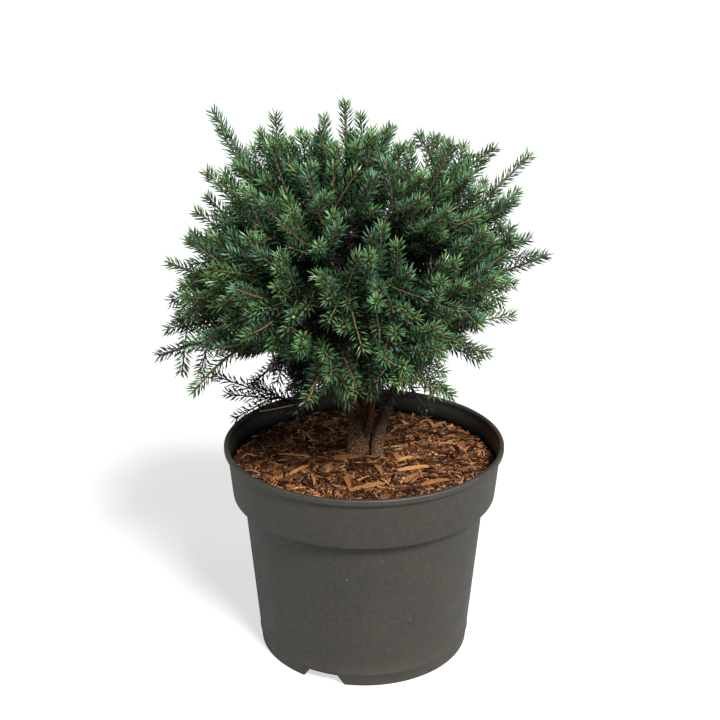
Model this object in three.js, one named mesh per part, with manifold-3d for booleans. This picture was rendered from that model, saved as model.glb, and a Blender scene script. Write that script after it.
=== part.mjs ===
// A dwarf cushion-shaped white spruce in a round nursery pot, in millimetres, +Z up.
// The origin is the middle of the pot's flat underside. The photographed front faces -Y.
import * as THREE from "three";
import { mergeVertices } from "three/addons/utils/BufferGeometryUtils.js";
import Module from "manifold-3d";

const wasm = await Module();
wasm.setup();
const { degToRad, radToDeg, lerp, clamp } = THREE.MathUtils;

// The pot, a 26 cm container of about 7.5 litres.
const POT_HEIGHT = 200;
const POT_SIDES = 36;
const BASE_RADIUS = 98.5;
const BODY_TOP_RADIUS = 111.8;
const COLLAR_Z = 151;
const COLLAR_RADIUS = 121.4;
const COLLAR_TOP_RADIUS = 125.4;
const BEAD_RADIUS = 128.6;
const BEAD_HEIGHT = 6;
const BEAD_ROUND = 1.5;
const WALL = 2;
const FOOT_RADIUS = 62;
const FOOT_SLOPE = 5;
const CHANNEL_Z = 10;
const NOTCH_COUNT = 3;
const NOTCH_AZIMUTH = 248;
const NOTCH_HEIGHT = 9.6;
const NOTCH_WIDTH_LOW = 40;
const NOTCH_WIDTH_HIGH = 27;
const DRAIN_COUNT = 6;
const DRAIN_RADIUS = 5;
const DRAIN_RING = 80;

// The bark mulch that fills the pot. Neighbouring solids keep the gap between them.
const MULCH_EDGE_Z = 176;
const MULCH_TOP_Z = 181;
const MULCH_FLAT = 45;
const GAP = 0.3;

// The trunk, with a groove down its lower front where two stems have grown together.
const TRUNK_FOOT = new THREE.Vector3(-4, 8, MULCH_TOP_Z);
const TRUNK_RADIUS = 11.5;
const TRUNK_TIP_RADIUS = 2.6;
const TRUNK_SWAY = 3;
const TRUNK_TAPER = 0.75;
const TRUNK_SIDES = 10;
const TRUNK_RINGS = 10;
const RINGS_NEAR_FOOT = 1.4;
const FLARE_SIZE = 4.5;
const FLARE_HEIGHT = 13;
const FLARE_LOBES = 3;
const LOBE_DEPTH = 0.4;
const GROOVE_DEPTH = 2.4;
const GROOVE_AZIMUTH = 288;
const GROOVE_SHARPNESS = 8;
const GROOVE_TOP_Z = 225;
const GROOVE_FADE = 20;
const BOUGH_TIP_RADIUS = 1.9;
const BOUGH_SIDES = 5;
const BOUGH_RINGS = 4;

// The crown grows out from this point, which its masses of foliage share as the tip of their
// cones. The reaches are those of its dense surface along each half axis.
const CENTRE = new THREE.Vector3(-10, 0, 325);
const REACH = { left: 152, right: 141, front: 146, back: 146, up: 163, down: 88 };
const SQUARENESS = { above: 2.6, below: 2 };

// Each tier is a ring of boughs that end in masses of foliage. Azimuth 0 is the right-hand side
// of the photograph and 270 its front. Hold is the share of the reach where a bough ends, and
// full and wide are the shares of the reach and of the spread that a mass's core fills.
const TIERS = [
  { name: "skirt", count: 4, turn: 52, elevation: -43, hold: 0.58, full: 0.8, wide: 0.6, twigs: 6 },
  { name: "low", count: 8, turn: 345, elevation: -14, hold: 0.46, full: 0.7, wide: 1, twigs: 6 },
  { name: "middle", count: 8, turn: 8, elevation: 20, hold: 0.46, full: 0.7, wide: 1, twigs: 6 },
  { name: "crest", count: 5, turn: 34, elevation: 54, hold: 0.46, full: 0.7, wide: 1, twigs: 6 },
  { name: "top", count: 1, turn: 180, elevation: 88, hold: 0.46, full: 0.7, wide: 1, twigs: 5 },
];
// Depart and arrive are a bough's slopes at its two ends. Neighbouring boughs start at different
// heights, in a round of three, so that they have room.
const BOUGHS = {
  skirt: { startZ: 197, depart: 30, arrive: -5, thick: 2.6 },
  low: { startZ: 219, depart: 42, arrive: 5, thick: 3.2 },
  middle: { startZ: 245, depart: 50, arrive: 25, thick: 3 },
  crest: { startZ: 283, depart: 55, arrive: 50, thick: 2.5 },
};
const STAGGER = 8;
const STAGGER_ROUND = 3;
// The masses that differ from the even crown: how large they are against it, how far from the
// centre their leading shoot reaches, and how much their axis is swung and lifted.
const SPECIAL = [
  { name: "top_1", size: 1, leader: 187 },
  { name: "crest_1", size: 1.06, leader: 218, swing: -18, lift: -14 },
  { name: "crest_3", size: 1.04, leader: 216, lift: 3 },
  { name: "crest_5", size: 1.04, leader: 190, swing: 4, lift: 4 },
  { name: "middle_1", size: 1.05, leader: 186, lift: -5 },
  { name: "middle_4", size: 1.04, leader: 172, swing: 5, lift: 4 },
  { name: "middle_5", size: 1.04, leader: 172, lift: -3 },
  { name: "low_1", size: 0.84, leader: 132 },
  { name: "low_4", size: 1.04, leader: 160 },
  { name: "low_5", size: 1.08, leader: 198, swing: 4, lift: -3 },
  { name: "low_6", size: 1.08, leader: 168, lift: -3 },
  { name: "skirt_2", size: 1.05, leader: 160, swing: 2, lift: 4 },
  { name: "skirt_4", size: 0.9, leader: 118 },
];
const SEED = 1200;
const COMMON_LEAD = 1.02;
const LEAD_SPAN = 0.08;

// The rule that every mass grows by: twigs leave its stem in a whorl, by turns from lower down
// with a wide spread and from higher up with a narrower one.
const TWIG_FROM = { wide: 0.1, narrow: 0.25 };
const NARROW_SPREAD = 0.8;
const TWIG_RADIUS = 1.3;
const TWIG_REACH = 0.95;
const TWIG_REACH_SPAN = 0.12;
const WIDEST_SPREAD = degToRad(30);
const PULLS = [1, 0.9, 0.78, 0.64];
const CLEAR_OF_NEIGHBOUR = 0.15;

// A spray is the outer stretch of a shoot, whose three-sided stem carries needles in rings.
const SPRAY_SIDES = 3;
const RING_STEP = 21;
const RING_TURN = degToRad(37);
const NEEDLE_TURN = degToRad(27);
const NEEDLE_LENGTH = 13;
const NEEDLE_LEAN_LOW = degToRad(60);
const NEEDLE_LEAN_HIGH = degToRad(32);
const BUD_LENGTH = 5;

// The shaded inside of a mass is a core, which the shoots stand out of.
const CORE_SIDES = 6;
const CORE_ROWS = 3;
const CORE_FROM = 0.05;

// A small seeded generator, so that every run grows the same plant.
function seeded(seed) {
  let state = seed >>> 0;
  return () => {
    state = (state + 0x6d2b79f5) >>> 0;
    let mixed = Math.imul(state ^ (state >>> 15), state | 1);
    mixed ^= mixed + Math.imul(mixed ^ (mixed >>> 7), mixed | 61);
    return ((mixed ^ (mixed >>> 14)) >>> 0) / 4294967296;
  };
}

// A closed three.js geometry as a solid that can be joined and cut.
function solidFrom(geometry) {
  const bare = geometry.clone();
  bare.deleteAttribute("normal");
  bare.deleteAttribute("uv");
  const merged = mergeVertices(bare, 1e-4);
  return new wasm.Manifold(
    new wasm.Mesh({
      numProp: 3,
      vertProperties: new Float32Array(merged.attributes.position.array),
      triVerts: new Uint32Array(merged.index.array),
    }),
  );
}

function geometryFrom(solid) {
  const mesh = solid.getMesh();
  return new THREE.BufferGeometry()
    .setAttribute("position", new THREE.BufferAttribute(mesh.vertProperties, 3))
    .setIndex(new THREE.BufferAttribute(mesh.triVerts, 1));
}

// The largest piece of a solid that a cut may have left with loose scraps.
function largestPiece(solid) {
  return solid.decompose().sort((a, b) => b.volume() - a.volume())[0];
}

function turned(profile) {
  const points = profile.map(([radius, z]) => new THREE.Vector2(radius, z));
  return new THREE.LatheGeometry(points, POT_SIDES).rotateX(Math.PI / 2);
}

// A direction from its azimuth and elevation in degrees.
function direction(azimuth, elevation) {
  const a = degToRad(azimuth);
  const e = degToRad(elevation);
  return new THREE.Vector3(Math.cos(a) * Math.cos(e), Math.sin(a) * Math.cos(e), Math.sin(e));
}

// Two directions at right angles to one direction and to each other.
function acrossOf(axis) {
  const helper = Math.abs(axis.z) < 0.9 ? new THREE.Vector3(0, 0, 1) : new THREE.Vector3(1, 0, 0);
  const u = new THREE.Vector3().crossVectors(helper, axis).normalize();
  const v = new THREE.Vector3().crossVectors(axis, u);
  return [u, v];
}

// A unit vector that leans from an axis towards one side by an angle.
function leaning(axis, side, angle) {
  return axis.clone().multiplyScalar(Math.cos(angle)).addScaledVector(side, Math.sin(angle));
}

// How far the dense crown reaches from its centre in one direction. It is squarer above than below.
function crownReach(unit) {
  const across = Math.hypot(
    unit.x / (unit.x < 0 ? REACH.left : REACH.right),
    unit.y / (unit.y < 0 ? REACH.front : REACH.back),
  );
  const rise = Math.abs(unit.z) / (unit.z < 0 ? REACH.down : REACH.up);
  const power = unit.z < 0 ? SQUARENESS.below : SQUARENESS.above;
  return Math.pow(Math.pow(across, power) + Math.pow(rise, power), -1 / power);
}

function crownPoint(unit, share) {
  return CENTRE.clone().addScaledVector(unit, crownReach(unit) * share);
}

// The pot: one turned shell with a step under its collar, a rounded bead, a flat foot in the
// middle of its floor, a raised drain channel round the foot, and notches through the skirt.
function makePot() {
  const beadLow = POT_HEIGHT - BEAD_HEIGHT;
  const floorZ = CHANNEL_Z + WALL;
  let pot = solidFrom(
    turned([
      [0, 0],
      [FOOT_RADIUS, 0],
      [FOOT_RADIUS + FOOT_SLOPE, CHANNEL_Z],
      [BASE_RADIUS - WALL, CHANNEL_Z],
      [BASE_RADIUS - WALL, 0],
      [BASE_RADIUS, 0],
      [BODY_TOP_RADIUS, COLLAR_Z],
      [COLLAR_RADIUS, COLLAR_Z],
      [COLLAR_TOP_RADIUS, beadLow],
      [BEAD_RADIUS, beadLow + BEAD_ROUND],
      [BEAD_RADIUS, POT_HEIGHT - BEAD_ROUND],
      [BEAD_RADIUS - BEAD_ROUND, POT_HEIGHT],
      [COLLAR_TOP_RADIUS - WALL / 2, POT_HEIGHT],
      [COLLAR_RADIUS - WALL, COLLAR_Z + WALL],
      [BODY_TOP_RADIUS - WALL, COLLAR_Z + WALL],
      [BASE_RADIUS - WALL, floorZ],
      [FOOT_RADIUS + FOOT_SLOPE - WALL, floorZ],
      [FOOT_RADIUS - WALL, WALL],
      [0, WALL],
    ]),
  );
  const notch = new THREE.Shape([
    new THREE.Vector2(-NOTCH_WIDTH_LOW / 2, 0),
    new THREE.Vector2(-NOTCH_WIDTH_LOW / 2, -1),
    new THREE.Vector2(NOTCH_WIDTH_LOW / 2, -1),
    new THREE.Vector2(NOTCH_WIDTH_LOW / 2, 0),
    new THREE.Vector2(NOTCH_WIDTH_HIGH / 2, NOTCH_HEIGHT),
    new THREE.Vector2(-NOTCH_WIDTH_HIGH / 2, NOTCH_HEIGHT),
  ]);
  const notchStart = BASE_RADIUS - NOTCH_HEIGHT;
  for (let i = 0; i < NOTCH_COUNT; i++) {
    const cutter = new THREE.ExtrudeGeometry(notch, { depth: 2 * NOTCH_HEIGHT, bevelEnabled: false })
      .rotateX(Math.PI / 2)
      .rotateZ(Math.PI / 2)
      .translate(notchStart, 0, 0)
      .rotateZ(degToRad(NOTCH_AZIMUTH + (360 / NOTCH_COUNT) * i));
    pot = pot.subtract(solidFrom(cutter));
  }
  for (let i = 0; i < DRAIN_COUNT; i++) {
    const drill = new THREE.CylinderGeometry(DRAIN_RADIUS, DRAIN_RADIUS, CHANNEL_Z, 6)
      .rotateX(Math.PI / 2)
      .translate(DRAIN_RING, 0, CHANNEL_Z)
      .rotateZ(degToRad(NOTCH_AZIMUTH + (360 / DRAIN_COUNT) * (i + 0.5)));
    pot = pot.subtract(solidFrom(drill));
  }
  return geometryFrom(pot);
}

// The mulch bed fills the pot to just below its rim and rises a little towards the trunk.
function makeMulch() {
  const inset = WALL + 2 * GAP;
  const floorZ = CHANNEL_Z + WALL + GAP;
  const rise = (MULCH_EDGE_Z - COLLAR_Z) / (POT_HEIGHT - BEAD_HEIGHT - COLLAR_Z);
  const edge = lerp(COLLAR_RADIUS, COLLAR_TOP_RADIUS, rise);
  const bed = turned([
    [0, WALL + GAP],
    [FOOT_RADIUS - inset, WALL + GAP],
    [FOOT_RADIUS + FOOT_SLOPE - inset, floorZ],
    [BASE_RADIUS - inset, floorZ],
    [BODY_TOP_RADIUS - inset, COLLAR_Z + WALL + GAP],
    [COLLAR_RADIUS - inset, COLLAR_Z + WALL + GAP],
    [edge - inset, MULCH_EDGE_Z],
    [MULCH_FLAT, MULCH_TOP_Z],
    [0, MULCH_TOP_Z],
  ]);
  return geometryFrom(solidFrom(bed));
}

// The masses as cells of the crown: each keeps to the directions nearest its own axis.
function listCells() {
  const cells = [];
  for (const tier of TIERS) {
    for (let i = 0; i < tier.count; i++) {
      const name = `${tier.name}_${i + 1}`;
      const special = SPECIAL.find((each) => each.name === name);
      const { size = 1, leader, swing = 0, lift = 0 } = special ?? {};
      const azimuth = tier.turn + (360 / tier.count) * i + swing;
      const axis = direction(azimuth, tier.elevation + lift);
      const common = COMMON_LEAD + LEAD_SPAN * seeded(SEED - 1 - cells.length)();
      const lead = leader ? leader / crownReach(axis) : common;
      cells.push({ name, tier, place: i, azimuth, axis, size, lead });
    }
  }
  return cells;
}

// The widest angle from a cell's axis, towards one side, that still lies in the cell.
function widestSpread(cell, cells, side) {
  let widest = WIDEST_SPREAD;
  for (const other of cells) {
    const across = side.dot(other.axis);
    if (other === cell || across <= 0) continue;
    widest = Math.min(widest, Math.atan2(1 - cell.axis.dot(other.axis), across));
  }
  return widest;
}

// Whether every point of a shape lies on its own side of the planes between the cells.
function keepsToCell(geometry, cell, cells) {
  const position = geometry.attributes.position;
  const point = new THREE.Vector3();
  for (const other of cells) {
    if (other === cell) continue;
    const normal = cell.axis.clone().sub(other.axis).normalize();
    for (let i = 0; i < position.count; i++) {
      point.fromBufferAttribute(position, i).sub(CENTRE);
      if (point.dot(normal) < CLEAR_OF_NEIGHBOUR) return false;
    }
  }
  return true;
}

// The trunk's middle at a share of its height.
function trunkAt(share, tip) {
  const middle = TRUNK_FOOT.clone().lerp(tip, share);
  middle.x += TRUNK_SWAY * Math.sin(2 * Math.PI * share);
  middle.y += TRUNK_SWAY * Math.sin(Math.PI * share);
  return middle;
}

function trunkShare(z, tip) {
  return clamp((z - TRUNK_FOOT.z) / (tip.z - TRUNK_FOOT.z), 0, 1);
}

// The radius tapers to the tip, swells at the foot into lobes and sinks in at the groove.
function trunkRadius(z, angle, tip) {
  const taper = lerp(TRUNK_RADIUS, TRUNK_TIP_RADIUS, Math.pow(trunkShare(z, tip), TRUNK_TAPER));
  const fade = Math.exp(-(z - TRUNK_FOOT.z) / FLARE_HEIGHT);
  const lobes = 1 - LOBE_DEPTH + LOBE_DEPTH * Math.cos(FLARE_LOBES * angle);
  const facing = Math.max(0, Math.cos(angle - degToRad(GROOVE_AZIMUTH)));
  const open = clamp((GROOVE_TOP_Z - z) / GROOVE_FADE, 0, 1);
  const groove = GROOVE_DEPTH * Math.pow(facing, GROOVE_SHARPNESS) * open;
  return taper + FLARE_SIZE * fade * lobes - groove;
}

// The trunk's rings lie level, so its foot is a flat cut. A grown copy is what boughs are cut by.
function makeTrunk(tip, grow) {
  const geometry = new THREE.CylinderGeometry(1, 1, 1, TRUNK_SIDES, TRUNK_RINGS);
  const position = geometry.attributes.position;
  for (let i = 0; i < position.count; i++) {
    const share = Math.pow(position.getY(i) + 0.5, RINGS_NEAR_FOOT);
    const middle = trunkAt(share, tip);
    const across = Math.hypot(position.getX(i), position.getZ(i));
    const angle = Math.atan2(position.getX(i), position.getZ(i));
    const radius = across * (trunkRadius(middle.z, angle, tip) + grow);
    middle.x += radius * Math.cos(angle);
    middle.y += radius * Math.sin(angle);
    position.setXYZ(i, middle.x, middle.y, middle.z);
  }
  return solidFrom(geometry);
}

// A tapering limb: a straight cylinder whose rings are carried onto a curve. Its far end is cut
// square to the direction in which the foliage goes on. A grown copy is larger all round.
function makeLimb(curve, thick, thin, onward, grow) {
  const geometry = new THREE.CylinderGeometry(1, 1, 1, BOUGH_SIDES, BOUGH_RINGS);
  const frames = curve.computeFrenetFrames(BOUGH_RINGS);
  const position = geometry.attributes.position;
  for (let i = 0; i < position.count; i++) {
    const share = position.getY(i) + 0.5;
    const ring = Math.round(share * BOUGH_RINGS);
    const radius = lerp(thick, thin, share) + grow;
    const point = curve
      .getPointAt(share)
      .addScaledVector(frames.binormals[ring], position.getX(i) * radius)
      .addScaledVector(frames.normals[ring], position.getZ(i) * radius);
    if (ring === BOUGH_RINGS) {
      const tangent = frames.tangents[ring];
      const ahead = point.clone().sub(curve.v3).dot(onward);
      point.addScaledVector(tangent, -ahead / tangent.dot(onward));
    }
    position.setXYZ(i, point.x, point.y, point.z);
  }
  return solidFrom(geometry);
}

// A bough leaves the trunk, arches outwards and ends where its mass begins.
function makeBough(cell, tip, grow) {
  const { startZ, depart, arrive, thick } = BOUGHS[cell.tier.name];
  const startHeight = startZ + STAGGER * (cell.place % STAGGER_ROUND);
  const start = trunkAt(trunkShare(startHeight, tip), tip);
  const end = crownPoint(cell.axis, cell.tier.hold);
  const third = end.distanceTo(start) / 3;
  const outward = radToDeg(Math.atan2(end.y - start.y, end.x - start.x));
  const curve = new THREE.CubicBezierCurve3(
    start,
    start.clone().addScaledVector(direction(outward, depart), third),
    end.clone().addScaledVector(direction(cell.azimuth, arrive), -third),
    end,
  );
  return makeLimb(curve, thick, BOUGH_TIP_RADIUS, cell.axis, grow);
}

// A shoot from its foot to its bud. It is bare for a stretch, and past that each face of its
// stem is drawn out into needles that lean forward, more so towards the bud.
function makeShoot(foot, tip, bare, turn) {
  const axis = tip.clone().sub(foot);
  const length = axis.length();
  axis.normalize();
  const [u, v] = acrossOf(axis);
  const points = [];
  const faces = [];
  const addPoint = (along, out, angle) => {
    const point = foot.clone().addScaledVector(axis, along);
    point.addScaledVector(leaning(u, v, angle), out);
    return points.push(point.x, point.y, point.z) / 3 - 1;
  };
  const needled = length - BUD_LENGTH - bare;
  const ringCount = Math.max(2, Math.round(needled / RING_STEP));
  const stations = [0];
  for (let k = 0; k <= ringCount; k++) {
    stations.push(bare + (needled * k) / ringCount);
  }
  const sideTurn = (2 * Math.PI) / SPRAY_SIDES;
  const rings = stations.map((along, k) => {
    const ring = [];
    for (let i = 0; i < SPRAY_SIDES; i++) {
      ring.push(addPoint(along, TWIG_RADIUS, turn + RING_TURN * Math.max(k - 1, 0) + i * sideTurn));
    }
    return ring;
  });
  const heel = addPoint(0, 0, 0);
  const bud = addPoint(length, 0, 0);
  for (let i = 0; i < SPRAY_SIDES; i++) {
    const j = (i + 1) % SPRAY_SIDES;
    faces.push(rings[0][j], rings[0][i], heel);
    faces.push(rings[0][i], rings[0][j], rings[1][j], rings[0][i], rings[1][j], rings[1][i]);
    faces.push(rings[ringCount + 1][i], rings[ringCount + 1][j], bud);
    for (let k = 1; k <= ringCount; k++) {
      const [a, b, c, d] = [rings[k][i], rings[k][j], rings[k + 1][j], rings[k + 1][i]];
      const lean = lerp(NEEDLE_LEAN_LOW, NEEDLE_LEAN_HIGH, (k - 1) / (ringCount - 1));
      const forward = NEEDLE_LENGTH * Math.cos(lean);
      const out = NEEDLE_LENGTH * Math.sin(lean);
      const angle = turn + RING_TURN * (k - 0.5) + (i + 0.5) * sideTurn;
      const lowAlong = lerp(stations[k], stations[k + 1], 1 / 3) + forward;
      const highAlong = lerp(stations[k], stations[k + 1], 2 / 3) + forward;
      const low = addPoint(lowAlong, out, angle + NEEDLE_TURN);
      const high = addPoint(highAlong, out, angle - NEEDLE_TURN);
      faces.push(a, b, low, b, c, low, c, a, low);
      faces.push(a, c, high, c, d, high, d, a, high);
    }
  }
  return new THREE.BufferGeometry()
    .setAttribute("position", new THREE.BufferAttribute(new Float32Array(points), 3))
    .setIndex(faces);
}

// The shaded core of a mass: a ball whose points are carried into the cell's cone.
function makeCore(cell, cells) {
  const [u, v] = acrossOf(cell.axis);
  const from = crownReach(cell.axis) * (cell.tier.hold + CORE_FROM);
  const geometry = new THREE.SphereGeometry(1, CORE_SIDES, CORE_ROWS);
  const position = geometry.attributes.position;
  for (let i = 0; i < position.count; i++) {
    const across = Math.hypot(position.getX(i), position.getZ(i));
    const side = leaning(u, v, Math.atan2(position.getX(i), position.getZ(i)));
    const spread = cell.tier.wide * across * widestSpread(cell, cells, side);
    const out = leaning(cell.axis, side, spread);
    const distance = lerp(from, crownReach(out) * cell.tier.full, (position.getY(i) + 1) / 2);
    const point = CENTRE.clone().addScaledVector(out, distance);
    position.setXYZ(i, point.x, point.y, point.z);
  }
  return geometry;
}

// A mass of foliage: a stem that carries on from the bough into the leading shoot, twigs that
// leave it in a whorl, and the core. All are fused. A twig that would leave the cell or touch a
// limb is drawn in, and left out where that doesn't help.
function makeMass(cell, cells, number, limbs) {
  const random = seeded(SEED + number);
  const reach = crownReach(cell.axis);
  const foot = crownPoint(cell.axis, cell.tier.hold).addScaledVector(cell.axis, GAP);
  const stemTip = crownPoint(cell.axis, cell.lead);
  const stemBare = reach * (cell.tier.full - cell.tier.hold);
  const parts = [solidFrom(makeShoot(foot, stemTip, stemBare, random() * Math.PI))];
  const [u, v] = acrossOf(cell.axis);
  const firstTurn = random() * 2 * Math.PI;
  for (let k = 1; k <= cell.tier.twigs; k++) {
    const side = leaning(u, v, firstTurn + (k * 2 * Math.PI) / cell.tier.twigs);
    const room = widestSpread(cell, cells, side) - NEEDLE_LENGTH / reach;
    const narrow = k % 2 === 1;
    const from = (narrow ? TWIG_FROM.narrow : TWIG_FROM.wide) / cell.lead;
    const start = foot.clone().lerp(stemTip, from);
    const share = cell.size * (TWIG_REACH + TWIG_REACH_SPAN * random());
    const turn = random() * Math.PI;
    for (const pull of PULLS) {
      const out = leaning(cell.axis, side, room * (narrow ? NARROW_SPREAD : 1) * pull);
      const tip = crownPoint(out, share);
      const bare = tip.distanceTo(start) - crownReach(out) * (share - cell.tier.full);
      const shoot = makeShoot(start, tip, bare, turn);
      if (!keepsToCell(shoot, cell, cells)) continue;
      const solid = solidFrom(shoot);
      if (!solid.intersect(limbs).isEmpty()) continue;
      parts.push(solid);
      break;
    }
  }
  parts.push(solidFrom(makeCore(cell, cells)).subtract(limbs));
  return geometryFrom(largestPiece(wasm.Manifold.union(parts)));
}

const materials = {
  pot: new THREE.MeshStandardMaterial({ color: 0x47463f, roughness: 0.55 }),
  mulch: new THREE.MeshStandardMaterial({ color: 0x6b4023, roughness: 0.95 }),
  bark: new THREE.MeshStandardMaterial({ color: 0x4a3626, roughness: 0.95 }),
  needles: new THREE.MeshStandardMaterial({ color: 0x2c5f3c, roughness: 0.6 }),
};

const plant = new THREE.Group();

function addPart(name, geometry, material) {
  const mesh = new THREE.Mesh(geometry, material);
  mesh.name = name;
  plant.add(mesh);
}

const cells = listCells();
const trunkCell = cells.find((cell) => cell.tier.name === "top");
const trunkTip = crownPoint(trunkCell.axis, trunkCell.tier.hold);
const boughCells = cells.filter((cell) => cell !== trunkCell);
const grownTrunk = makeTrunk(trunkTip, GAP);
const grownBoughs = boughCells.map((cell) => makeBough(cell, trunkTip, GAP));
const grownLimbs = wasm.Manifold.union([grownTrunk, ...grownBoughs]);

addPart("pot", makePot(), materials.pot);
addPart("mulch_bed", makeMulch(), materials.mulch);
addPart("trunk", geometryFrom(makeTrunk(trunkTip, 0)), materials.bark);
for (const cell of boughCells) {
  const bough = largestPiece(makeBough(cell, trunkTip, 0).subtract(grownTrunk));
  addPart(`bough_${cell.name}`, geometryFrom(bough), materials.bark);
}
cells.forEach((cell, number) => {
  addPart(`foliage_${cell.name}`, makeMass(cell, cells, number, grownLimbs), materials.needles);
});

export default plant;
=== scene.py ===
# %% [markdown]
# A cushion-shaped dwarf white spruce in its nursery pot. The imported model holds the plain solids:
# pot, mulch, trunk, boughs and masses of foliage. This lesson dresses each of them at the same
# size and place, so the first step is to load them and to keep the box that they fill.

import math
import bmesh
import bpy
import numpy as np
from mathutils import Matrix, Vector, noise


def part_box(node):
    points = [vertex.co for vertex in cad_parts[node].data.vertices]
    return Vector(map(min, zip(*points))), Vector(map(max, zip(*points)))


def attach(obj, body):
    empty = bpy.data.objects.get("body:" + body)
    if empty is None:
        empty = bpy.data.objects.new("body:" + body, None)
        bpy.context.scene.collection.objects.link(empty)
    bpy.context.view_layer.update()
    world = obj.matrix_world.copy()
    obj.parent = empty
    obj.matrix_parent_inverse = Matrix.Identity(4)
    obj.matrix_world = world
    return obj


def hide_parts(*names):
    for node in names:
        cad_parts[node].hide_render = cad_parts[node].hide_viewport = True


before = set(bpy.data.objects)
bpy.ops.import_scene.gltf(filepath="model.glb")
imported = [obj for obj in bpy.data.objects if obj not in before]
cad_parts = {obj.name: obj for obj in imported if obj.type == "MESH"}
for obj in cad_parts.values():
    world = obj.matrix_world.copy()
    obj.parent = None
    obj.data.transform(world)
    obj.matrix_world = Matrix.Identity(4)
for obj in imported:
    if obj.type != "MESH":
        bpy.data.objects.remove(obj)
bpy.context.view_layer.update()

# %% [markdown]
# The camera stands a little over a metre in front of the pot and looks down on it by 20 degrees,
# which shows both the mulch and the underside of the crown. A camera could be aimed by eye. Its
# height, distance and tilt were worked out from the pot's rims instead, so that they are sizes.

# %% Camera
CAMERA_PLACE = (-0.0037, -1.067, 0.6667)
CAMERA_TILT = math.radians(20.055)
CAMERA_LENS = 63.06
CAMERA_SENSOR = 36


def put_in_scene(name, data):
    """A new object in the scene."""
    made = bpy.data.objects.new(name, data)
    bpy.context.scene.collection.objects.link(made)
    return made


camera = put_in_scene("camera", bpy.data.cameras.new("camera"))
camera.data.lens = CAMERA_LENS
camera.data.sensor_width = CAMERA_SENSOR
camera.location = CAMERA_PLACE
camera.rotation_euler = (math.pi / 2 - CAMERA_TILT, 0, 0)
bpy.context.scene.camera = camera
bpy.context.scene.view_settings.view_transform = "Standard"
print("The camera's lens is", CAMERA_LENS, "mm")

# %% [markdown]
# Shaders and Geometry Nodes are both trees of nodes, and building one by hand takes many lines.
# These helpers keep the later cells short: they add a node and feed its sockets, do sums with
# nodes, and open and end a tree that has named inputs.

# %% Helpers for node trees


def put(tree, kind, settings=None, feeds=None):
    """A new node. A feed is another node's output socket, or a plain value."""
    node = tree.nodes.new(kind)
    for name, value in (settings or {}).items():
        setattr(node, name, value)
    for key, value in (feeds or {}).items():
        if isinstance(value, bpy.types.NodeSocket):
            tree.links.new(value, node.inputs[key])
        else:
            node.inputs[key].default_value = value
    return node


def calculate(tree, operation, *parts):
    """The result of a sum on numbers."""
    return put(tree, "ShaderNodeMath", {"operation": operation}, dict(enumerate(parts))).outputs[0]


def calculate_vector(tree, operation, *parts, result="Vector"):
    """The result of a sum on directions or places."""
    node = put(tree, "ShaderNodeVectorMath", {"operation": operation}, dict(enumerate(parts)))
    return node.outputs[result]


def stretched(tree, direction, amount):
    """A direction made longer or shorter by a number."""
    feeds = {"Vector": direction, "Scale": amount}
    return put(tree, "ShaderNodeVectorMath", {"operation": "SCALE"}, feeds).outputs[0]


def from_axes(tree, x, y, z):
    """A direction from its three numbers."""
    return put(tree, "ShaderNodeCombineXYZ", None, {"X": x, "Y": y, "Z": z}).outputs[0]


def flattened(tree, place):
    """A place brought down to height 0, and how far it is from the plant's upright axis."""
    flat = calculate_vector(tree, "MULTIPLY", place, (1, 1, 0))
    return flat, calculate_vector(tree, "LENGTH", flat, result="Value")


def run_between(tree, value, low, high, first=0.0, last=1.0):
    """A number that runs from a first value to a last one while another runs from low to high."""
    feeds = {"Value": value, "From Min": low, "From Max": high, "To Min": first, "To Max": last}
    return put(tree, "ShaderNodeMapRange", None, feeds).outputs["Result"]


def open_tree(name, kind, inputs, result):
    """An empty tree with named sockets, what its inputs give, and what takes its result."""
    tree = bpy.data.node_groups.new(name, kind)
    for side, sockets in (("INPUT", inputs), ("OUTPUT", result)):
        for form, names in sockets.items():
            for socket in names:
                tree.interface.new_socket(name=socket, in_out=side, socket_type="NodeSocket" + form)
    return tree, tree.nodes.new("NodeGroupInput").outputs, tree.nodes.new("NodeGroupOutput").inputs


def end_tree(tree, shape, finish, taken):
    """The end of every tree that makes a piece: its copies are made real and get their finish."""
    real = put(tree, "GeometryNodeRealizeInstances", None, {"Geometry": shape}).outputs[0]
    coated = put(tree, "GeometryNodeSetMaterial", None, {"Geometry": real, "Material": finish})
    tree.links.new(coated.outputs[0], taken[0])
    return tree


print("The node helpers are ready")

# %% [markdown]
# A modifier makes its shape anew each time, but a piece has to be a plain mesh. Both a Boolean cut
# and a Geometry Nodes tree are therefore run on a carrier object, which hands over its mesh and is
# removed. A finished mesh then becomes a piece, which rides with the plant and stands for solids.

# %% Helpers for meshes and pieces


def made_plain(carrier):
    """The mesh that an object's modifiers make. The object itself is removed."""
    graph = bpy.context.evaluated_depsgraph_get()
    mesh = bpy.data.meshes.new_from_object(carrier.evaluated_get(graph))
    bpy.data.objects.remove(carrier)
    return mesh


def run_tree(tree, source, values):
    """The plain mesh that a Geometry Nodes tree makes from a mesh or a curve."""
    carrier = put_in_scene("carrier", source)
    modifier = carrier.modifiers.new("grow", "NODES")
    modifier.node_group = tree
    for item in tree.interface.items_tree:
        if item.in_out == "INPUT" and item.name in values:
            modifier[item.identifier] = values[item.name]
    return made_plain(carrier)


def set_smooth(mesh, smooth=True):
    """Shades a mesh smoothly, or face by face."""
    mesh.polygons.foreach_set("use_smooth", [smooth] * len(mesh.polygons))


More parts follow.
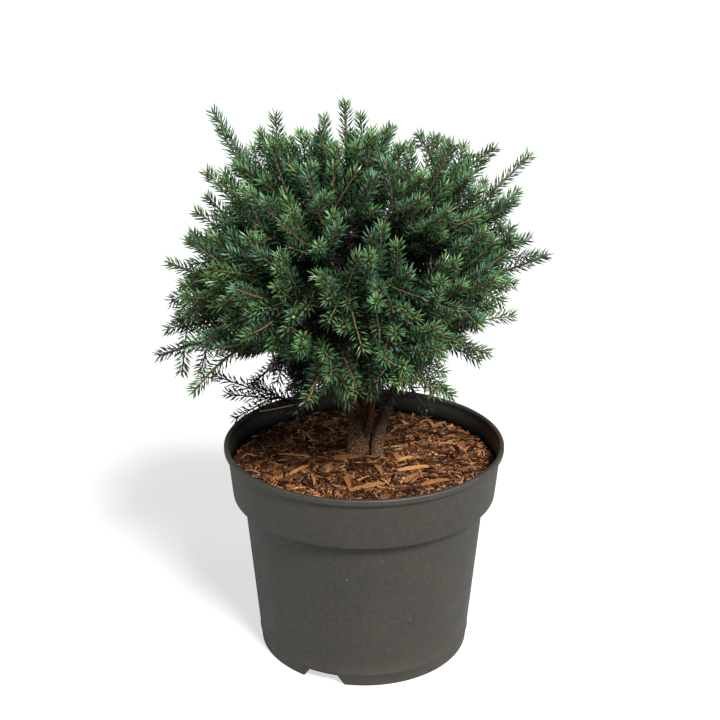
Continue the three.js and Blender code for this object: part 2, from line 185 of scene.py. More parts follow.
def bands(rows):
    """The faces between rows of points that run round a form. A row of one point is a pole."""
    for low, high in zip(rows, rows[1:]):
        count = max(len(low), len(high))
        for i in range(count):
            j = (i + 1) % count
            corners = (low[i % len(low)], low[j % len(low)], high[j % len(high)], high[i % len(high)])
            yield list(dict.fromkeys(corners))


def mesh_from(shell, name):
    """Turns edited faces into a mesh and frees them."""
    mesh = bpy.data.meshes.new(name)
    shell.to_mesh(mesh)
    shell.free()
    return mesh


def turn_section(section, sides):
    """A closed shell made by turning a section round the axis, with one point at each pole."""
    shell = bmesh.new()
    angles = [2 * math.pi * i / sides for i in range(sides)]
    rings = []
    for radius, z in section:
        turns = angles if radius else [0]
        rings.append([shell.verts.new((radius * math.cos(a), radius * math.sin(a), z)) for a in turns])
    for corners in bands(rings):
        shell.faces.new(corners)
    bmesh.ops.recalc_face_normals(shell, faces=shell.faces)
    return shell


def add_piece(name, mesh, nodes=()):
    """Shows a finished mesh as a piece that rides with the plant and stands for solids."""
    piece = put_in_scene(name, mesh)
    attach(piece, "root")
    if nodes:
        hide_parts(*nodes)
    mesh.calc_loop_triangles()
    print(name, "has", len(mesh.loop_triangles), "triangles")


print("The mesh helpers are ready")

# %% [markdown]
# No living surface has one even colour. Mottling is soft blotches of a chosen size, and grain is
# fine streaks, as in wood. More than one finish needs each of them, so they are shader groups that
# are built once. Both read Object coordinates and give a mask from 0 to 1.

# %% Shader groups for mottling and grain
GRAIN_DETAIL = 4.0
GRAIN_ROUGHNESS = 0.65


def place_on(tree):
    """The place of each point of a piece."""
    return put(tree, "ShaderNodeTexCoord").outputs["Object"]


def make_mottling():
    """A group whose mask is soft blotches of a chosen size."""
    inputs = {"Float": ["Scale", "Detail", "Low", "High"]}
    tree, given, taken = open_tree("Mottling", "ShaderNodeTree", inputs, {"Float": ["Mask"]})
    feeds = {"Vector": place_on(tree), "Scale": given["Scale"], "Detail": given["Detail"]}
    cloud = put(tree, "ShaderNodeTexNoise", None, feeds).outputs["Fac"]
    tree.links.new(run_between(tree, cloud, given["Low"], given["High"]), taken[0])
    return tree


def make_grain():
    """A group whose mask is fine streaks that are drawn out along the height of the piece."""
    inputs = {"Float": ["Scale", "Drawn out"]}
    tree, given, taken = open_tree("Grain", "ShaderNodeTree", inputs, {"Float": ["Mask"]})
    squeeze = from_axes(tree, 1.0, 1.0, given["Drawn out"])
    streaked = calculate_vector(tree, "MULTIPLY", place_on(tree), squeeze)
    feeds = {"Vector": streaked, "Scale": given["Scale"], "Detail": GRAIN_DETAIL}
    cloud = put(tree, "ShaderNodeTexNoise", None, {**feeds, "Roughness": GRAIN_ROUGHNESS})
    tree.links.new(cloud.outputs["Fac"], taken[0])
    return tree


MOTTLING = make_mottling()
GRAIN = make_grain()
print("Shader groups:", MOTTLING.name, "and", GRAIN.name)

# %% [markdown]
# Each finish is a Principled BSDF whose colour runs between near tones by such masks. The helpers
# start a material, place the two groups in it, read a number that the mesh holds, blend two tones
# and turn a mask into small bumps. Tones are written as a screen shows them, from 0 to 255.

# %% Helpers for materials


def mottling(tree, scale, detail, low, high):
    """The mottling mask, placed in a material with its own values."""
    feeds = {"Scale": scale, "Detail": detail, "Low": low, "High": high}
    return put(tree, "ShaderNodeGroup", {"node_tree": MOTTLING}, feeds).outputs["Mask"]


def grain(tree, scale, drawn_out):
    """The grain mask, placed in a material with its own values."""
    feeds = {"Scale": scale, "Drawn out": drawn_out}
    return put(tree, "ShaderNodeGroup", {"node_tree": GRAIN}, feeds).outputs["Mask"]


def stored(tree, name):
    """A number that the mesh of the piece holds under a name."""
    return put(tree, "ShaderNodeAttribute", {"attribute_name": name}).outputs["Fac"]


def part_of(tree, mask, share):
    """A mask made fainter."""
    return calculate(tree, "MULTIPLY", mask, share)


def to_light(value):
    """The amount of light that a shader takes for a value on a screen."""
    share = value / 255
    return share / 12.92 if share <= 0.04045 else ((share + 0.055) / 1.055) ** 2.4


def as_colour(tone):
    """A socket as it is, or a tone of three values as the colour that a shader takes."""
    if isinstance(tone, bpy.types.NodeSocket):
        return tone
    return (*(to_light(value) for value in tone), 1.0)


def blend_colours(tree, mask, first, second):
    """A colour between two, by a mask."""
    feeds = {0: mask, 6: as_colour(first), 7: as_colour(second)}
    return put(tree, "ShaderNodeMix", {"data_type": "RGBA"}, feeds).outputs[2]


def start_material(name, roughness):
    """A new material with its tree and its shader node."""
    material = bpy.data.materials.new(name)
    material.use_nodes = True
    shader = material.node_tree.nodes["Principled BSDF"]
    shader.inputs["Roughness"].default_value = roughness
    return material, material.node_tree, shader


def add_relief(tree, shader, height, depth, strength=1.0):
    """Feeds a height mask to the shader as small bumps of a real depth."""
    feeds = {"Height": height, "Distance": depth, "Strength": strength}
    bump = put(tree, "ShaderNodeBump", None, feeds)
    tree.links.new(bump.outputs["Normal"], shader.inputs["Normal"])


print("The material helpers are ready")

# %% [markdown]
# A studio for plants is a pale sweep of card under large soft lamps. A wide flat floor and a pale
# world do the same here. The main lamp is as even over the floor as a far, broad window, and it
# draws the sheen on the needles. Two weaker lamps keep the pot's sides from going black. Card and
# world look brighter to the camera than the light that they throw on the plant.

# %% Studio
FLOOR_SIZE = 30
FLOOR_COLOUR = (0.42, 0.42, 0.42, 1)
FLOOR_ROUGHNESS = 0.9
FLOOR_SHINE = 0.62
WHITE = (1, 1, 1, 1)
WORLD_STRENGTH = 0.17
BACKDROP_STRENGTH = 1.0
LAMPS_AIM = Vector((0, 0, 0.3))
KEY_STRENGTH = 5.1
KEY_SOFTNESS = math.radians(16)
KEY_PLACE = (0.45, -0.8, 1.25)
FILL_SIZE = 0.8
FILL_LAMPS = {"left": ((-1.5, -0.6, 0.9), 6), "right": ((1.5, -0.4, 0.8), 8)}


def add_lamp(name, kind, place, power):
    """A lamp that points at the middle of the plant."""
    lamp = put_in_scene(name, bpy.data.lights.new(name, kind))
    lamp.data.energy = power
    lamp.location = place
    lamp.rotation_euler = (LAMPS_AIM - Vector(place)).to_track_quat("-Z", "Y").to_euler()
    return lamp.data


def for_camera(tree, thrown, seen):
    """A strength with one value for the light that is thrown and another for what the camera sees."""
    to_camera = put(tree, "ShaderNodeLightPath").outputs["Is Camera Ray"]
    return run_between(tree, to_camera, 0.0, 1.0, thrown, seen)


add_lamp("key", "SUN", KEY_PLACE, KEY_STRENGTH).angle = KEY_SOFTNESS
for name, (place, power) in FILL_LAMPS.items():
    add_lamp(name, "AREA", place, power).size = FILL_SIZE

world = bpy.data.worlds.new("studio")
world.use_nodes = True
sky = world.node_tree.nodes["Background"]
sky.inputs["Color"].default_value = WHITE
sky_strength = for_camera(world.node_tree, WORLD_STRENGTH, BACKDROP_STRENGTH)
world.node_tree.links.new(sky_strength, sky.inputs["Strength"])
bpy.context.scene.world = world

half = FLOOR_SIZE / 2
floor_mesh = bpy.data.meshes.new("floor")
floor_corners = [(-half, -half, 0), (half, -half, 0), (half, half, 0), (-half, half, 0)]
floor_mesh.from_pydata(floor_corners, [], [(0, 1, 2, 3)])
card, card_tree, card_shader = start_material("floor card", FLOOR_ROUGHNESS)
card_shader.inputs["Base Color"].default_value = FLOOR_COLOUR
card_shader.inputs["Emission Color"].default_value = WHITE
card_tree.links.new(for_camera(card_tree, 0.0, FLOOR_SHINE), card_shader.inputs["Emission Strength"])
floor_mesh.materials.append(card)
put_in_scene("floor", floor_mesh)
print("The main lamp is", round(math.degrees(KEY_SOFTNESS)), "degrees across, as the plant sees it")

# %% [markdown]
# The pot is moulded plastic: a thin wall, a deep collar for gripping, and a rolled bead at the rim.
# It could be cut from a cylinder. It is round all over, so its section is drawn once instead and
# turned round the axis. Its height and its rim are read from the solid, and arcs round the bead
# and the corners, where the light catches them.

# %% Pot sizes
POT_SIDES = 256
pot_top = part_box("pot")[1]
POT_HEIGHT = pot_top.z
BEAD_RADIUS = pot_top.x
BASE_RADIUS = 0.0985
BODY_TOP_RADIUS = 0.1118
COLLAR_Z = 0.151
COLLAR_RADIUS = 0.1214
COLLAR_TOP_RADIUS = 0.1254
BEAD_HEIGHT = 0.006
WALL = 0.002
BEAD_ROUND = 0.0016
FILLET = 0.0012
FOOT_RADIUS = 0.062
FOOT_SLOPE = 0.005
CHANNEL_Z = 0.010
FOOT_ROUND = 0.0006
FOOT_BEVEL = 0.0004
CORNER_ROOM = 0.002
BODY_RINGS_FROM_Z = 0.03
BODY_RING_COUNT = 6
COLLAR_RING_SHARES = np.linspace(0.1, 0.95, 6)
LIP_STEP = 0.0002
SHELF_RISE = 0.003
RING_LINE_Z = 0.0125
RING_LINE_DEPTH = 0.0005
RING_LINE_REACH = 0.001
RING_LINE_FLAT = 0.0003
NOTCH_COUNT = 3
NOTCH_AZIMUTH = 248
NOTCH_HEIGHT = 0.0096
NOTCH_WIDTHS = (0.040, 0.027)
DRAIN_COUNT = 6
DRAIN_RADIUS = 0.005
DRAIN_RING = 0.080
print("The pot is", round(POT_HEIGHT, 4), "m high and", round(2 * BEAD_RADIUS, 4), "m across")

# %% Section of the pot


def arc(centre, radius, start, end, steps=6):
    """Points of a round corner, between two angles in degrees."""
    angles = [math.radians(start + (end - start) * i / steps) for i in range(steps + 1)]
    return [(centre[0] + radius * math.cos(a), centre[1] + radius * math.sin(a)) for a in angles]


def outer_section():
    """The outer face as radius and height, from the middle underneath up to the bead."""
    bead_low = POT_HEIGHT - BEAD_HEIGHT
    slope = (BODY_TOP_RADIUS - BASE_RADIUS) / COLLAR_Z
    line_radius = BASE_RADIUS + slope * RING_LINE_Z
    foot_inside = BASE_RADIUS - WALL
    section = [(0, 0), (FOOT_RADIUS, 0), (FOOT_RADIUS + FOOT_SLOPE, CHANNEL_Z)]
    section += [(foot_inside, CHANNEL_Z), (foot_inside, FOOT_BEVEL), (foot_inside + FOOT_BEVEL, 0)]
    section += [(BASE_RADIUS - FOOT_ROUND, 0)]
    section += arc((BASE_RADIUS - FOOT_ROUND, FOOT_ROUND), FOOT_ROUND, -90, 0, steps=3)
    section += [(line_radius - slope * RING_LINE_REACH, RING_LINE_Z - RING_LINE_REACH)]
    section += [(line_radius + RING_LINE_DEPTH, RING_LINE_Z - RING_LINE_FLAT)]
    section += [(line_radius + RING_LINE_DEPTH, RING_LINE_Z + RING_LINE_FLAT)]
    section += [(line_radius + slope * RING_LINE_REACH, RING_LINE_Z + RING_LINE_REACH)]
    heights = np.linspace(BODY_RINGS_FROM_Z, COLLAR_Z - 2 * CORNER_ROOM, BODY_RING_COUNT)
    section += [(BASE_RADIUS + slope * z, z) for z in heights]
    section += [(BODY_TOP_RADIUS - slope * CORNER_ROOM, COLLAR_Z - CORNER_ROOM)]
    section += arc((BODY_TOP_RADIUS + FILLET, COLLAR_Z - FILLET), FILLET, 180, 90, steps=4)
    section += arc((COLLAR_RADIUS - FILLET, COLLAR_Z + FILLET), FILLET, -90, 0, steps=4)
    for share in COLLAR_RING_SHARES:
        radius = COLLAR_RADIUS + (COLLAR_TOP_RADIUS - COLLAR_RADIUS) * share
        section += [(radius, COLLAR_Z + (bead_low - COLLAR_Z) * share)]
    return section + arc((BEAD_RADIUS - BEAD_ROUND, bead_low + BEAD_ROUND), BEAD_ROUND, -80, 0)


def inner_section():
    """The rest of the section, from the bead over the lip and down to the middle inside."""
    lip = COLLAR_TOP_RADIUS - WALL / 2
    bead_z = POT_HEIGHT - BEAD_ROUND
    shelf_z = COLLAR_Z + WALL
    floor_z = CHANNEL_Z + WALL
    section = arc((BEAD_RADIUS - BEAD_ROUND, bead_z), BEAD_ROUND, 0, 90)
    section += arc((lip + BEAD_ROUND, bead_z), BEAD_ROUND, 90, 180)
    section += [(lip - LIP_STEP, POT_HEIGHT - BEAD_HEIGHT - CORNER_ROOM)]
    section += [(COLLAR_RADIUS - WALL, shelf_z + SHELF_RISE), (COLLAR_RADIUS - WALL - CORNER_ROOM, shelf_z)]
    section += [(BODY_TOP_RADIUS - WALL, shelf_z)]
    section += [(BASE_RADIUS - WALL, floor_z), (FOOT_RADIUS + FOOT_SLOPE - WALL, floor_z)]
    return section + [(FOOT_RADIUS - WALL, WALL), (0, WALL)]


pot_section = outer_section() + inner_section()
pot_mesh = mesh_from(turn_section(pot_section, POT_SIDES), "pot shell")
print("The pot's section has", len(pot_section), "points")

# %% [markdown]
# The skirt under the pot has shallow notches that let water and air out, and drain holes are
# pierced through the raised channel. They could be modelled face by face. A Boolean cuts them
# cleanly: all cutters are joined into one mesh, and the modifier is then turned into plain faces.

# %% Notches and drain holes
DRILL_SIDES = 24
DRILL_LENGTH = 0.008
NOTCH_PAST_FLOOR = 0.001


def add_notch(cutters, azimuth):
    """A wedge that is wide below and narrower above, and passes right through the skirt."""
    low, high = NOTCH_WIDTHS[0] / 2, NOTCH_WIDTHS[1] / 2
    outline = [(-low, -NOTCH_PAST_FLOOR), (low, -NOTCH_PAST_FLOOR), (low, 0)]
    outline += [(high, NOTCH_HEIGHT), (-high, NOTCH_HEIGHT), (-low, 0)]
    turn = math.radians(azimuth)
    rows = []
    for radius in (BASE_RADIUS - NOTCH_HEIGHT, BASE_RADIUS + NOTCH_HEIGHT):
        row = []
        for across, z in outline:
            x = radius * math.cos(turn) - across * math.sin(turn)
            y = radius * math.sin(turn) + across * math.cos(turn)
            row.append(cutters.verts.new((x, y, z)))
        rows.append(row)
    for corners in (rows[0][::-1], rows[1], *bands(rows)):
        cutters.faces.new(corners)


def add_drill(cutters, azimuth):
    """A round cutter through the raised channel."""
    turn = math.radians(azimuth)
    sizes = {"segments": DRILL_SIDES, "radius1": DRAIN_RADIUS, "radius2": DRAIN_RADIUS, "depth": DRILL_LENGTH}
    made = bmesh.ops.create_cone(cutters, cap_ends=True, **sizes)
    place = (DRAIN_RING * math.cos(turn), DRAIN_RING * math.sin(turn), CHANNEL_Z + WALL / 2)
    bmesh.ops.translate(cutters, verts=made["verts"], vec=place)


def cut_pot(mesh):
    """The pot with its notches and drain holes cut."""
    cutters = bmesh.new()
    for i in range(NOTCH_COUNT):
        add_notch(cutters, NOTCH_AZIMUTH + 360 / NOTCH_COUNT * i)
    for i in range(DRAIN_COUNT):
        add_drill(cutters, NOTCH_AZIMUTH + 360 / DRAIN_COUNT * (i + 0.5))
    bmesh.ops.recalc_face_normals(cutters, faces=cutters.faces)
    cutter = put_in_scene("cutter", mesh_from(cutters, "cutter"))
    shell = put_in_scene("shell", mesh)
    cut = shell.modifiers.new("cut", "BOOLEAN")
    cut.operation = "DIFFERENCE"
    cut.solver = "EXACT"
    cut.object = cutter
    done = made_plain(shell)
    bpy.data.objects.remove(cutter)
    return done


pot_mesh = cut_pot(pot_mesh)
print("The pot has", len(pot_mesh.polygons), "faces after the cuts")

# %% [markdown]
# Recycled plastic is a warm dark grey with a satin face. It carries a film of dust that is browner
# near the foot, and a few pale specks. The colour changes only a little, and the roughness has its
# own blotches, so that the sheen breaks up as on the real pot. Inside the collar the wall is made
# nearly black and duller. Such masks could be painted by hand. Here they are sums on the place of
# each point, which keeps them tied to the pot's sizes.

# %% Pot plastic
GREY_TONES = ((50, 48, 42), (56, 53, 46))
DUST_TONE = (92, 84, 75)
SPECK_TONE = (150, 146, 138)
# Tones of the wall inside the collar, nearly black.
INNER_WALL_TONES = ((5, 5, 4), (14, 12, 10))
FOOT_DUST_TOP_Z = 0.035
FINE_DUST = 0.22
FOOT_DUST = 0.3
SPECK_SCALE = 70.0
SPECK_EDGE = (0.045, 0.03)
SPECK_ABOVE = 0.8
SHEEN = {"elsewhere": 0.5, "inside_collar": 0.08}
PLASTIC_ROUGHNESS = (0.44, 0.54)
PLASTIC_RELIEF = 0.00008
SHARP_CORNER = math.radians(38)


def dust_mask(tree, height):
    """Fine dust all over the pot, and more of it in blotches near its foot."""
    fine = mottling(tree, scale=260.0, detail=6.0, low=0.45, high=0.75)
    near_foot = run_between(tree, height, FOOT_DUST_TOP_Z, 0.0)
    blotches = mottling(tree, scale=45.0, detail=5.0, low=0.3, high=0.7)
    by_foot = calculate(tree, "MULTIPLY", near_foot, blotches)
    return calculate(tree, "MAXIMUM", part_of(tree, fine, FINE_DUST), part_of(tree, by_foot, FOOT_DUST))


def speck_mask(tree, place):
    """Small round specks. One voronoi cell in five has one."""
    feeds = {"Vector": place, "Scale": SPECK_SCALE}
    cells = put(tree, "ShaderNodeTexVoronoi", {"feature": "F1"}, feeds).outputs
    chance = put(tree, "ShaderNodeSeparateColor", None, {0: cells["Color"]}).outputs[0]
    chosen = calculate(tree, "GREATER_THAN", chance, SPECK_ABOVE)
    return calculate(tree, "MULTIPLY", run_between(tree, cells["Distance"], *SPECK_EDGE), chosen)


def inner_wall_mask(tree, place, height):
    """The inner side of the collar's wall, from its shelf up to the lip."""
    slope = (COLLAR_TOP_RADIUS - COLLAR_RADIUS) / (POT_HEIGHT - BEAD_HEIGHT - COLLAR_Z)
    middle = calculate(tree, "MULTIPLY_ADD", height, slope, COLLAR_RADIUS - slope * COLLAR_Z - WALL / 2)
    depth = calculate(tree, "SUBTRACT", middle, flattened(tree, place)[1])
    inside = run_between(tree, depth, 0.0, WALL / 4)
    above = calculate(tree, "GREATER_THAN", height, COLLAR_Z + WALL / 2)
    below_lip = calculate(tree, "LESS_THAN", height, POT_HEIGHT - BEAD_HEIGHT / 2)
    return calculate(tree, "MULTIPLY", calculate(tree, "MULTIPLY", inside, above), below_lip)


def make_plastic():
    """Dark grey moulded plastic, dusty and specked outside, and nearly black and duller inside the collar."""
    material, tree, shader = start_material("dark moulded plastic", PLASTIC_ROUGHNESS[0])
    place = place_on(tree)
    height = put(tree, "ShaderNodeSeparateXYZ", None, {0: place}).outputs["Z"]
    cloud = mottling(tree, scale=22.0, detail=5.0, low=0.3, high=0.72)
    grey = blend_colours(tree, cloud, *GREY_TONES)
    dusty = blend_colours(tree, dust_mask(tree, height), grey, DUST_TONE)
    specked = blend_colours(tree, speck_mask(tree, place), dusty, SPECK_TONE)
    # Inside the collar the wall is made nearly black, with less sheen.
    inner_wall_tone = blend_colours(tree, mottling(tree, scale=90.0, detail=5.0, low=0.4, high=0.75), *INNER_WALL_TONES)
    inside_collar = inner_wall_mask(tree, place, height)
    tree.links.new(blend_colours(tree, inside_collar, specked, inner_wall_tone), shader.inputs["Base Color"])
    sheen = run_between(tree, inside_collar, 0.0, 1.0, SHEEN["elsewhere"], SHEEN["inside_collar"])
    tree.links.new(sheen, shader.inputs["Specular IOR Level"])
    scuffs = mottling(tree, scale=60.0, detail=5.0, low=0.3, high=0.7)
    tree.links.new(run_between(tree, scuffs, 0.0, 1.0, *PLASTIC_ROUGHNESS), shader.inputs["Roughness"])
    pores = mottling(tree, scale=900.0, detail=3.0, low=0.3, high=0.7)
    add_relief(tree, shader, pores, PLASTIC_RELIEF, strength=0.7)
    return material


pot_mesh.materials.clear()
pot_mesh.materials.append(make_plastic())
set_smooth(pot_mesh)
pot_mesh.set_sharp_from_angle(angle=SHARP_CORNER)
add_piece("pot_shell", pot_mesh, ["pot"])

# %% [markdown]
# The crown grows by a rule. A small seeded generator gives the same numbers on every run. The
# sizes below are the source's: the centre that all the shoots point away from, how far the dense
# crown reaches along each half axis, and the tiers of boughs that hold the masses of foliage.

# %% Sizes of the crown
CENTRE = Vector((-0.010, 0, 0.325))
REACH = {"left": 0.152, "right": 0.141, "front": 0.146, "back": 0.146, "up": 0.163, "down": 0.088}
SQUARENESS = {"above": 2.6, "below": 2}
TIERS = [
    {"name": "skirt", "count": 4, "turn": 52, "elevation": -43, "hold": 0.58, "twigs": 6},
    {"name": "low", "count": 8, "turn": 345, "elevation": -14, "hold": 0.46, "twigs": 6},
    {"name": "middle", "count": 8, "turn": 8, "elevation": 20, "hold": 0.46, "twigs": 6},
    {"name": "crest", "count": 5, "turn": 34, "elevation": 54, "hold": 0.46, "twigs": 6},
    {"name": "top", "count": 1, "turn": 180, "elevation": 88, "hold": 0.46, "twigs": 5},
]
SPECIAL = {
    "top_1": {"size": 1, "leader": 0.187},
    "crest_1": {"size": 1.06, "leader": 0.218, "swing": -18, "lift": -14},
    "crest_3": {"size": 1.04, "leader": 0.216, "lift": 3},
    "crest_5": {"size": 1.04, "leader": 0.190, "swing": 4, "lift": 4},
    "middle_1": {"size": 1.05, "leader": 0.186, "lift": -5},
    "middle_4": {"size": 1.04, "leader": 0.172, "swing": 5, "lift": 4},
    "middle_5": {"size": 1.04, "leader": 0.172, "lift": -3},
    "low_1": {"size": 0.84, "leader": 0.132},
    "low_4": {"size": 1.04, "leader": 0.160},
    "low_5": {"size": 1.08, "leader": 0.198, "swing": 4, "lift": -3},
    "low_6": {"size": 1.08, "leader": 0.168, "lift": -3, "droop": 0.3},
    "skirt_2": {"size": 1.05, "leader": 0.160, "swing": 2, "lift": 4},
    "skirt_4": {"size": 0.9, "leader": 0.118},
}
SEED = 1200
COMMON_LEAD = 1.02
LEAD_SPAN = 0.08
WIDEST_SPREAD = math.radians(30)
NEEDLE_ROOM = 0.013
print("The crown reaches", REACH["up"], "m above its centre")

# %% The rule's numbers and directions


def seeded(seed):
    """A small generator of numbers from 0 to 1, the same on every run."""
    full = 0xFFFFFFFF
    state = seed & full

    def draw():
        nonlocal state
        state = (state + 0x6D2B79F5) & full
        mixed = ((state ^ (state >> 15)) * (state | 1)) & full
        mixed ^= (mixed + ((mixed ^ (mixed >> 7)) * (mixed | 61) & full)) & full
        return (mixed ^ (mixed >> 14)) / (full + 1)

    return draw


def direction(azimuth, elevation):
    """A direction from its azimuth and elevation in degrees."""
    a, e = math.radians(azimuth), math.radians(elevation)
    return Vector((math.cos(a) * math.cos(e), math.sin(a) * math.cos(e), math.sin(e)))


def from_mm(place):
    """A place in metres from one in millimetres."""
    return Vector(place) / 1000


def across_of(axis):
    """Two directions at right angles to one direction and to each other."""
    helper = Vector((0, 0, 1)) if abs(axis.z) < 0.9 else Vector((1, 0, 0))
    u = helper.cross(axis).normalized()
    return u, axis.cross(u)


def leaning(axis, side, angle):
    """A direction that leans from an axis towards one side by an angle."""
    return axis * math.cos(angle) + side * math.sin(angle)


def crown_reach(unit):
    """How far the dense crown reaches from its centre in one direction."""
    across = math.hypot(
        unit.x / (REACH["left"] if unit.x < 0 else REACH["right"]),
        unit.y / (REACH["front"] if unit.y < 0 else REACH["back"]),
    )
    rise = abs(unit.z) / (REACH["down"] if unit.z < 0 else REACH["up"])
    power = SQUARENESS["below"] if unit.z < 0 else SQUARENESS["above"]
    return (across**power + rise**power) ** (-1 / power)


def crown_point(unit, share):
    """The place at a share of the crown's reach in one direction."""
    return CENTRE + unit * (crown_reach(unit) * share)


def list_cells():
    """The masses as cells of the crown, each with its axis, its size and its leading shoot."""
    cells = []
    for tier in TIERS:
        for i in range(tier["count"]):
            name = f"{tier['name']}_{i + 1}"
            special = SPECIAL.get(name, {})
            azimuth = tier["turn"] + 360 / tier["count"] * i + special.get("swing", 0)
            axis = direction(azimuth, tier["elevation"] + special.get("lift", 0))
            lead = COMMON_LEAD + LEAD_SPAN * seeded(SEED - 1 - len(cells))()
            if "leader" in special:
                lead = special["leader"] / crown_reach(axis)
            cells.append(
                {"name": name, "tier": tier, "place": i, "azimuth": azimuth, "axis": axis,
                 "size": special.get("size", 1), "lead": lead}
            )
    return cells


def cell_at(out):
    """The number of the cell that a direction from the crown's centre lies in."""
    return max(range(len(CELLS)), key=lambda number: out.dot(CELLS[number]["axis"]))


def widest_spread(cell, side):
    """The widest angle from a cell's axis, towards one side, that still lies in the cell."""
    widest = WIDEST_SPREAD
    for other in CELLS:
        across = side.dot(other["axis"])
        if other is not cell and across > 0:
            widest = min(widest, math.atan2(1 - cell["axis"].dot(other["axis"]), across))
    return widest


CELLS = list_cells()
print("The crown has", len(CELLS), "masses")

# %% [markdown]
# The trunk tapers and sways a little, swells into root lobes at its foot, and has a groove where
# two stems have grown together. Its bark is thin and scaly. Such relief could be a bump map, but
# the outline would stay smooth, so a fine mesh is pushed in and out by noise at two sizes.

# %% Trunk sizes
TRUNK_FOOT = Vector((-0.004, 0.008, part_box("trunk")[0].z))
TRUNK_RADIUS = 0.0115
TRUNK_TIP_RADIUS = 0.0026
TRUNK_SWAY = 0.003
TRUNK_TAPER = 0.75
FLARE_SIZE = 0.0045
FLARE_HEIGHT = 0.013
FLARE_LOBES = 3
LOBE_DEPTH = 0.4
GROOVE_DEPTH = 0.0030
GROOVE_AZIMUTH = math.radians(312)
GROOVE_SHARPNESS = 12
GROOVE_TOP_Z = 0.225
GROOVE_FADE = 0.020
TRUNK_SIDES = 90
TRUNK_ROWS = 200
SCALE_RELIEF = 0.0013
ROW_CROWDING = 1.5
SCALE_DENSITY = 260
SCALE_STRETCH = 0.6
CRACK_WIDTH = 0.3
CRUMB_DENSITY = 900
CRUMB_SHARE = 0.35
BARK_LEVEL = 0.6
trunk_cell = next(cell for cell in CELLS if cell["tier"]["name"] == "top")
TRUNK_TIP = crown_point(trunk_cell["axis"], trunk_cell["tier"]["hold"])
print("The trunk is", round(TRUNK_TIP.z - TRUNK_FOOT.z, 3), "m tall")

# %% Trunk


def trunk_at(share):
    """The trunk's middle at a share of its height."""
    middle = TRUNK_FOOT.lerp(TRUNK_TIP, share)
    middle.x += TRUNK_SWAY * math.sin(2 * math.pi * share)
    middle.y += TRUNK_SWAY * math.sin(math.pi * share)
    return middle


def trunk_share(z):
    """The share of the trunk's height that a height lies at."""
    return min(max((z - TRUNK_FOOT.z) / (TRUNK_TIP.z - TRUNK_FOOT.z), 0), 1)


def trunk_radius(z, angle):
    """The trunk's radius, with its flare and its groove."""
    share = trunk_share(z) ** TRUNK_TAPER
    taper = TRUNK_RADIUS + (TRUNK_TIP_RADIUS - TRUNK_RADIUS) * share
    fade = math.exp(-(z - TRUNK_FOOT.z) / FLARE_HEIGHT)
    lobes = 1 - LOBE_DEPTH + LOBE_DEPTH * math.cos(FLARE_LOBES * angle)
    facing = max(0, math.cos(angle - GROOVE_AZIMUTH))
    opening = min(max((GROOVE_TOP_Z - z) / GROOVE_FADE, 0), 1)
    return taper + FLARE_SIZE * fade * lobes - GROOVE_DEPTH * facing**GROOVE_SHARPNESS * opening


def bark_height(place):
    """How far the bark stands out at a place: flat scales with cracks between, and fine crumbs."""
    drawn = Vector((place.x, place.y, place.z * SCALE_STRETCH)) * SCALE_DENSITY
    near, next_near = noise.voronoi(drawn)[0][:2]
    scales = min(next_near - near, CRACK_WIDTH) / CRACK_WIDTH
    crumbs = noise.fractal(place * CRUMB_DENSITY, 1.0, 2.0, 3)
    return scales - BARK_LEVEL + CRUMB_SHARE * crumbs


def make_trunk():
    """The trunk as rows of points round its middle, closed at the foot and the tip."""
    shell = bmesh.new()
    rows = []
    for k in range(TRUNK_ROWS + 1):
        middle = trunk_at((k / TRUNK_ROWS) ** ROW_CROWDING)
        row = []
        for i in range(TRUNK_SIDES):
            angle = 2 * math.pi * i / TRUNK_SIDES
            out = Vector((math.cos(angle), math.sin(angle), 0))
            radius = trunk_radius(middle.z, angle)
            on_bark = middle + out * radius
            fade = min(1, radius / TRUNK_RADIUS)
            row.append(shell.verts.new(on_bark + out * (SCALE_RELIEF * fade * bark_height(on_bark))))
        rows.append(row)
    for corners in (*bands(rows), rows[0][::-1], rows[-1]):
        shell.faces.new(corners)
    return mesh_from(shell, "trunk bark")


trunk_mesh = make_trunk()
set_smooth(trunk_mesh)
print("The trunk's tip is", round(TRUNK_TIP.z, 3), "m above the floor")

# %% [markdown]
# Old bark is nearly black in its cracks, with paler warm flakes and a breath of green algae, and
# painted shade darkens it upwards into the crown, which shades it. The bark of boughs is a plainer
# brown, and young wood is ochre. Photographs of bark could be laid on. One function makes them all
# instead from three tones each, with a voronoi pattern for the scales and a bump that follows its
# cracks.

# %% Bark and twig finishes
BARK_ROUGHNESS = 0.85
CRACK_SHARE = 0.22
CRUMB_FINENESS = 3.5
CRUMB_STRENGTH = 0.9
LEAST_LIGHT = 0.1
BLOTCH_FINENESS = 0.35
BLOTCH_STRENGTH = 0.3
# How dark the painted shade of the crown makes the trunk's bark at its darkest.
CROWN_SHADE_SHARE = 0.85


